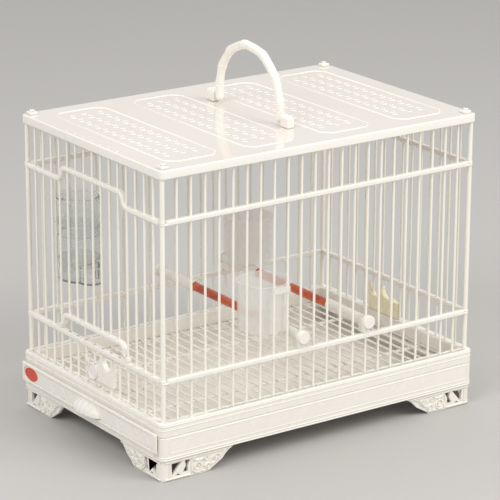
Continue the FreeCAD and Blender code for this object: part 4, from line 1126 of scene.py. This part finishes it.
# Share of the badge's size, and rise in millimetres from its CAD face.
BADGE_RING_SHARES = (
    (1.0, -0.9), (1.0, 0.3), (0.95, 0.62), (0.88, 0.62), (0.83, 0.3), (0.6, 0.46), (0.3, 0.56),
)
badge_turns = [2 * math.pi * side / BADGE_SIDES for side in range(BADGE_SIDES)]
badge = bmesh.new()
badge_rows = []
for ring_share, rise in BADGE_RING_SHARES:
    badge_rows.append(corners_at(badge, [
        (badge_low.x - rise, badge_middle.y + badge_half.y * ring_share * math.cos(turn),
         badge_middle.z + badge_half.z * ring_share * math.sin(turn))
        for turn in badge_turns
    ]))
bridge_all(badge, badge_rows)
badge.faces.new(badge_rows[-1])
badge.faces.new(list(reversed(badge_rows[0])))
stand_in("plain_badge", badge, "badge_plate")


# Stage, lights and camera, in metres and watts
FLOOR_HALF_SIZE = 15
FLOOR_SOCKETS = {"Base Color": (0.50, 0.49, 0.475, 1), "Roughness": 0.6, "Specular IOR Level": 0.2}
WORLD_SOCKETS = {"Color": (0.82, 0.81, 0.80, 1), "Strength": 0.82}
WHITE = (1, 1, 1)
WARM_WHITE = (1, 0.985, 0.96)
# Name, place, target, size, power and colour.
LAMPS = (
    ("key", (0.8, -1.75, 2.0), (0, 0, 0.15), 1.5, 33, WARM_WHITE),
    ("fill", (-1.9, -0.7, 2.0), (0, 0, 0.15), 1.5, 25, WHITE),
    ("top", (0.2, 0.9, 2.4), (0, 0, 0.2), 1.8, 9, WHITE),
)
CAMERA_PLACE = (-1.54845, -2.2182, 1.0404)
CAMERA_FAR = 100
YAW = math.radians(35.047)
PITCH = math.radians(17.707)
ROLL = math.radians(0.224)
FOCAL_PIXELS = 2654.03
IMAGE_PIXELS = 500
SENSOR = 36

floor_shape = bmesh.new()
bmesh.ops.create_grid(floor_shape, x_segments=1, y_segments=1, size=FLOOR_HALF_SIZE)
floor_mesh = bpy.data.meshes.new("floor")
floor_shape.to_mesh(floor_mesh)
floor_shape.free()
floor_material, _, floor_shader, _ = material_nodes("floor_grey")
set_sockets(floor_shader, FLOOR_SOCKETS)
floor_mesh.materials.append(floor_material)
floor = bpy.data.objects.new("floor", floor_mesh)
scene.collection.objects.link(floor)

world = bpy.data.worlds.new("studio")
scene.world = world
world.use_nodes = True
set_sockets(world.node_tree.nodes["Background"], WORLD_SOCKETS)

for name, place, target, size, power, colour in LAMPS:
    lamp_data = bpy.data.lights.new(name, "AREA")
    lamp_data.shape = "DISK"
    lamp_data.size = size
    lamp_data.energy = power
    lamp_data.color = colour
    lamp = bpy.data.objects.new(name, lamp_data)
    lamp.location = place
    lamp.rotation_euler = (Vector(target) - Vector(place)).to_track_quat("-Z", "Y").to_euler()
    scene.collection.objects.link(lamp)

forward = Vector((math.sin(YAW) * math.cos(PITCH), math.cos(YAW) * math.cos(PITCH), -math.sin(PITCH)))
level_right = Vector((math.cos(YAW), -math.sin(YAW), 0))
level_up = level_right.cross(forward)
right = level_right * math.cos(ROLL) + level_up * math.sin(ROLL)
up = level_up * math.cos(ROLL) - level_right * math.sin(ROLL)
camera_data = bpy.data.cameras.new("camera")
camera_data.sensor_width = SENSOR
camera_data.lens = FOCAL_PIXELS / IMAGE_PIXELS * SENSOR
camera_data.clip_end = CAMERA_FAR
camera = bpy.data.objects.new("camera", camera_data)
camera.matrix_world = Matrix((right, up, -forward)).transposed().to_4x4()
camera.location = CAMERA_PLACE
scene.collection.objects.link(camera)
scene.camera = camera
scene.view_settings.view_transform = "Standard"
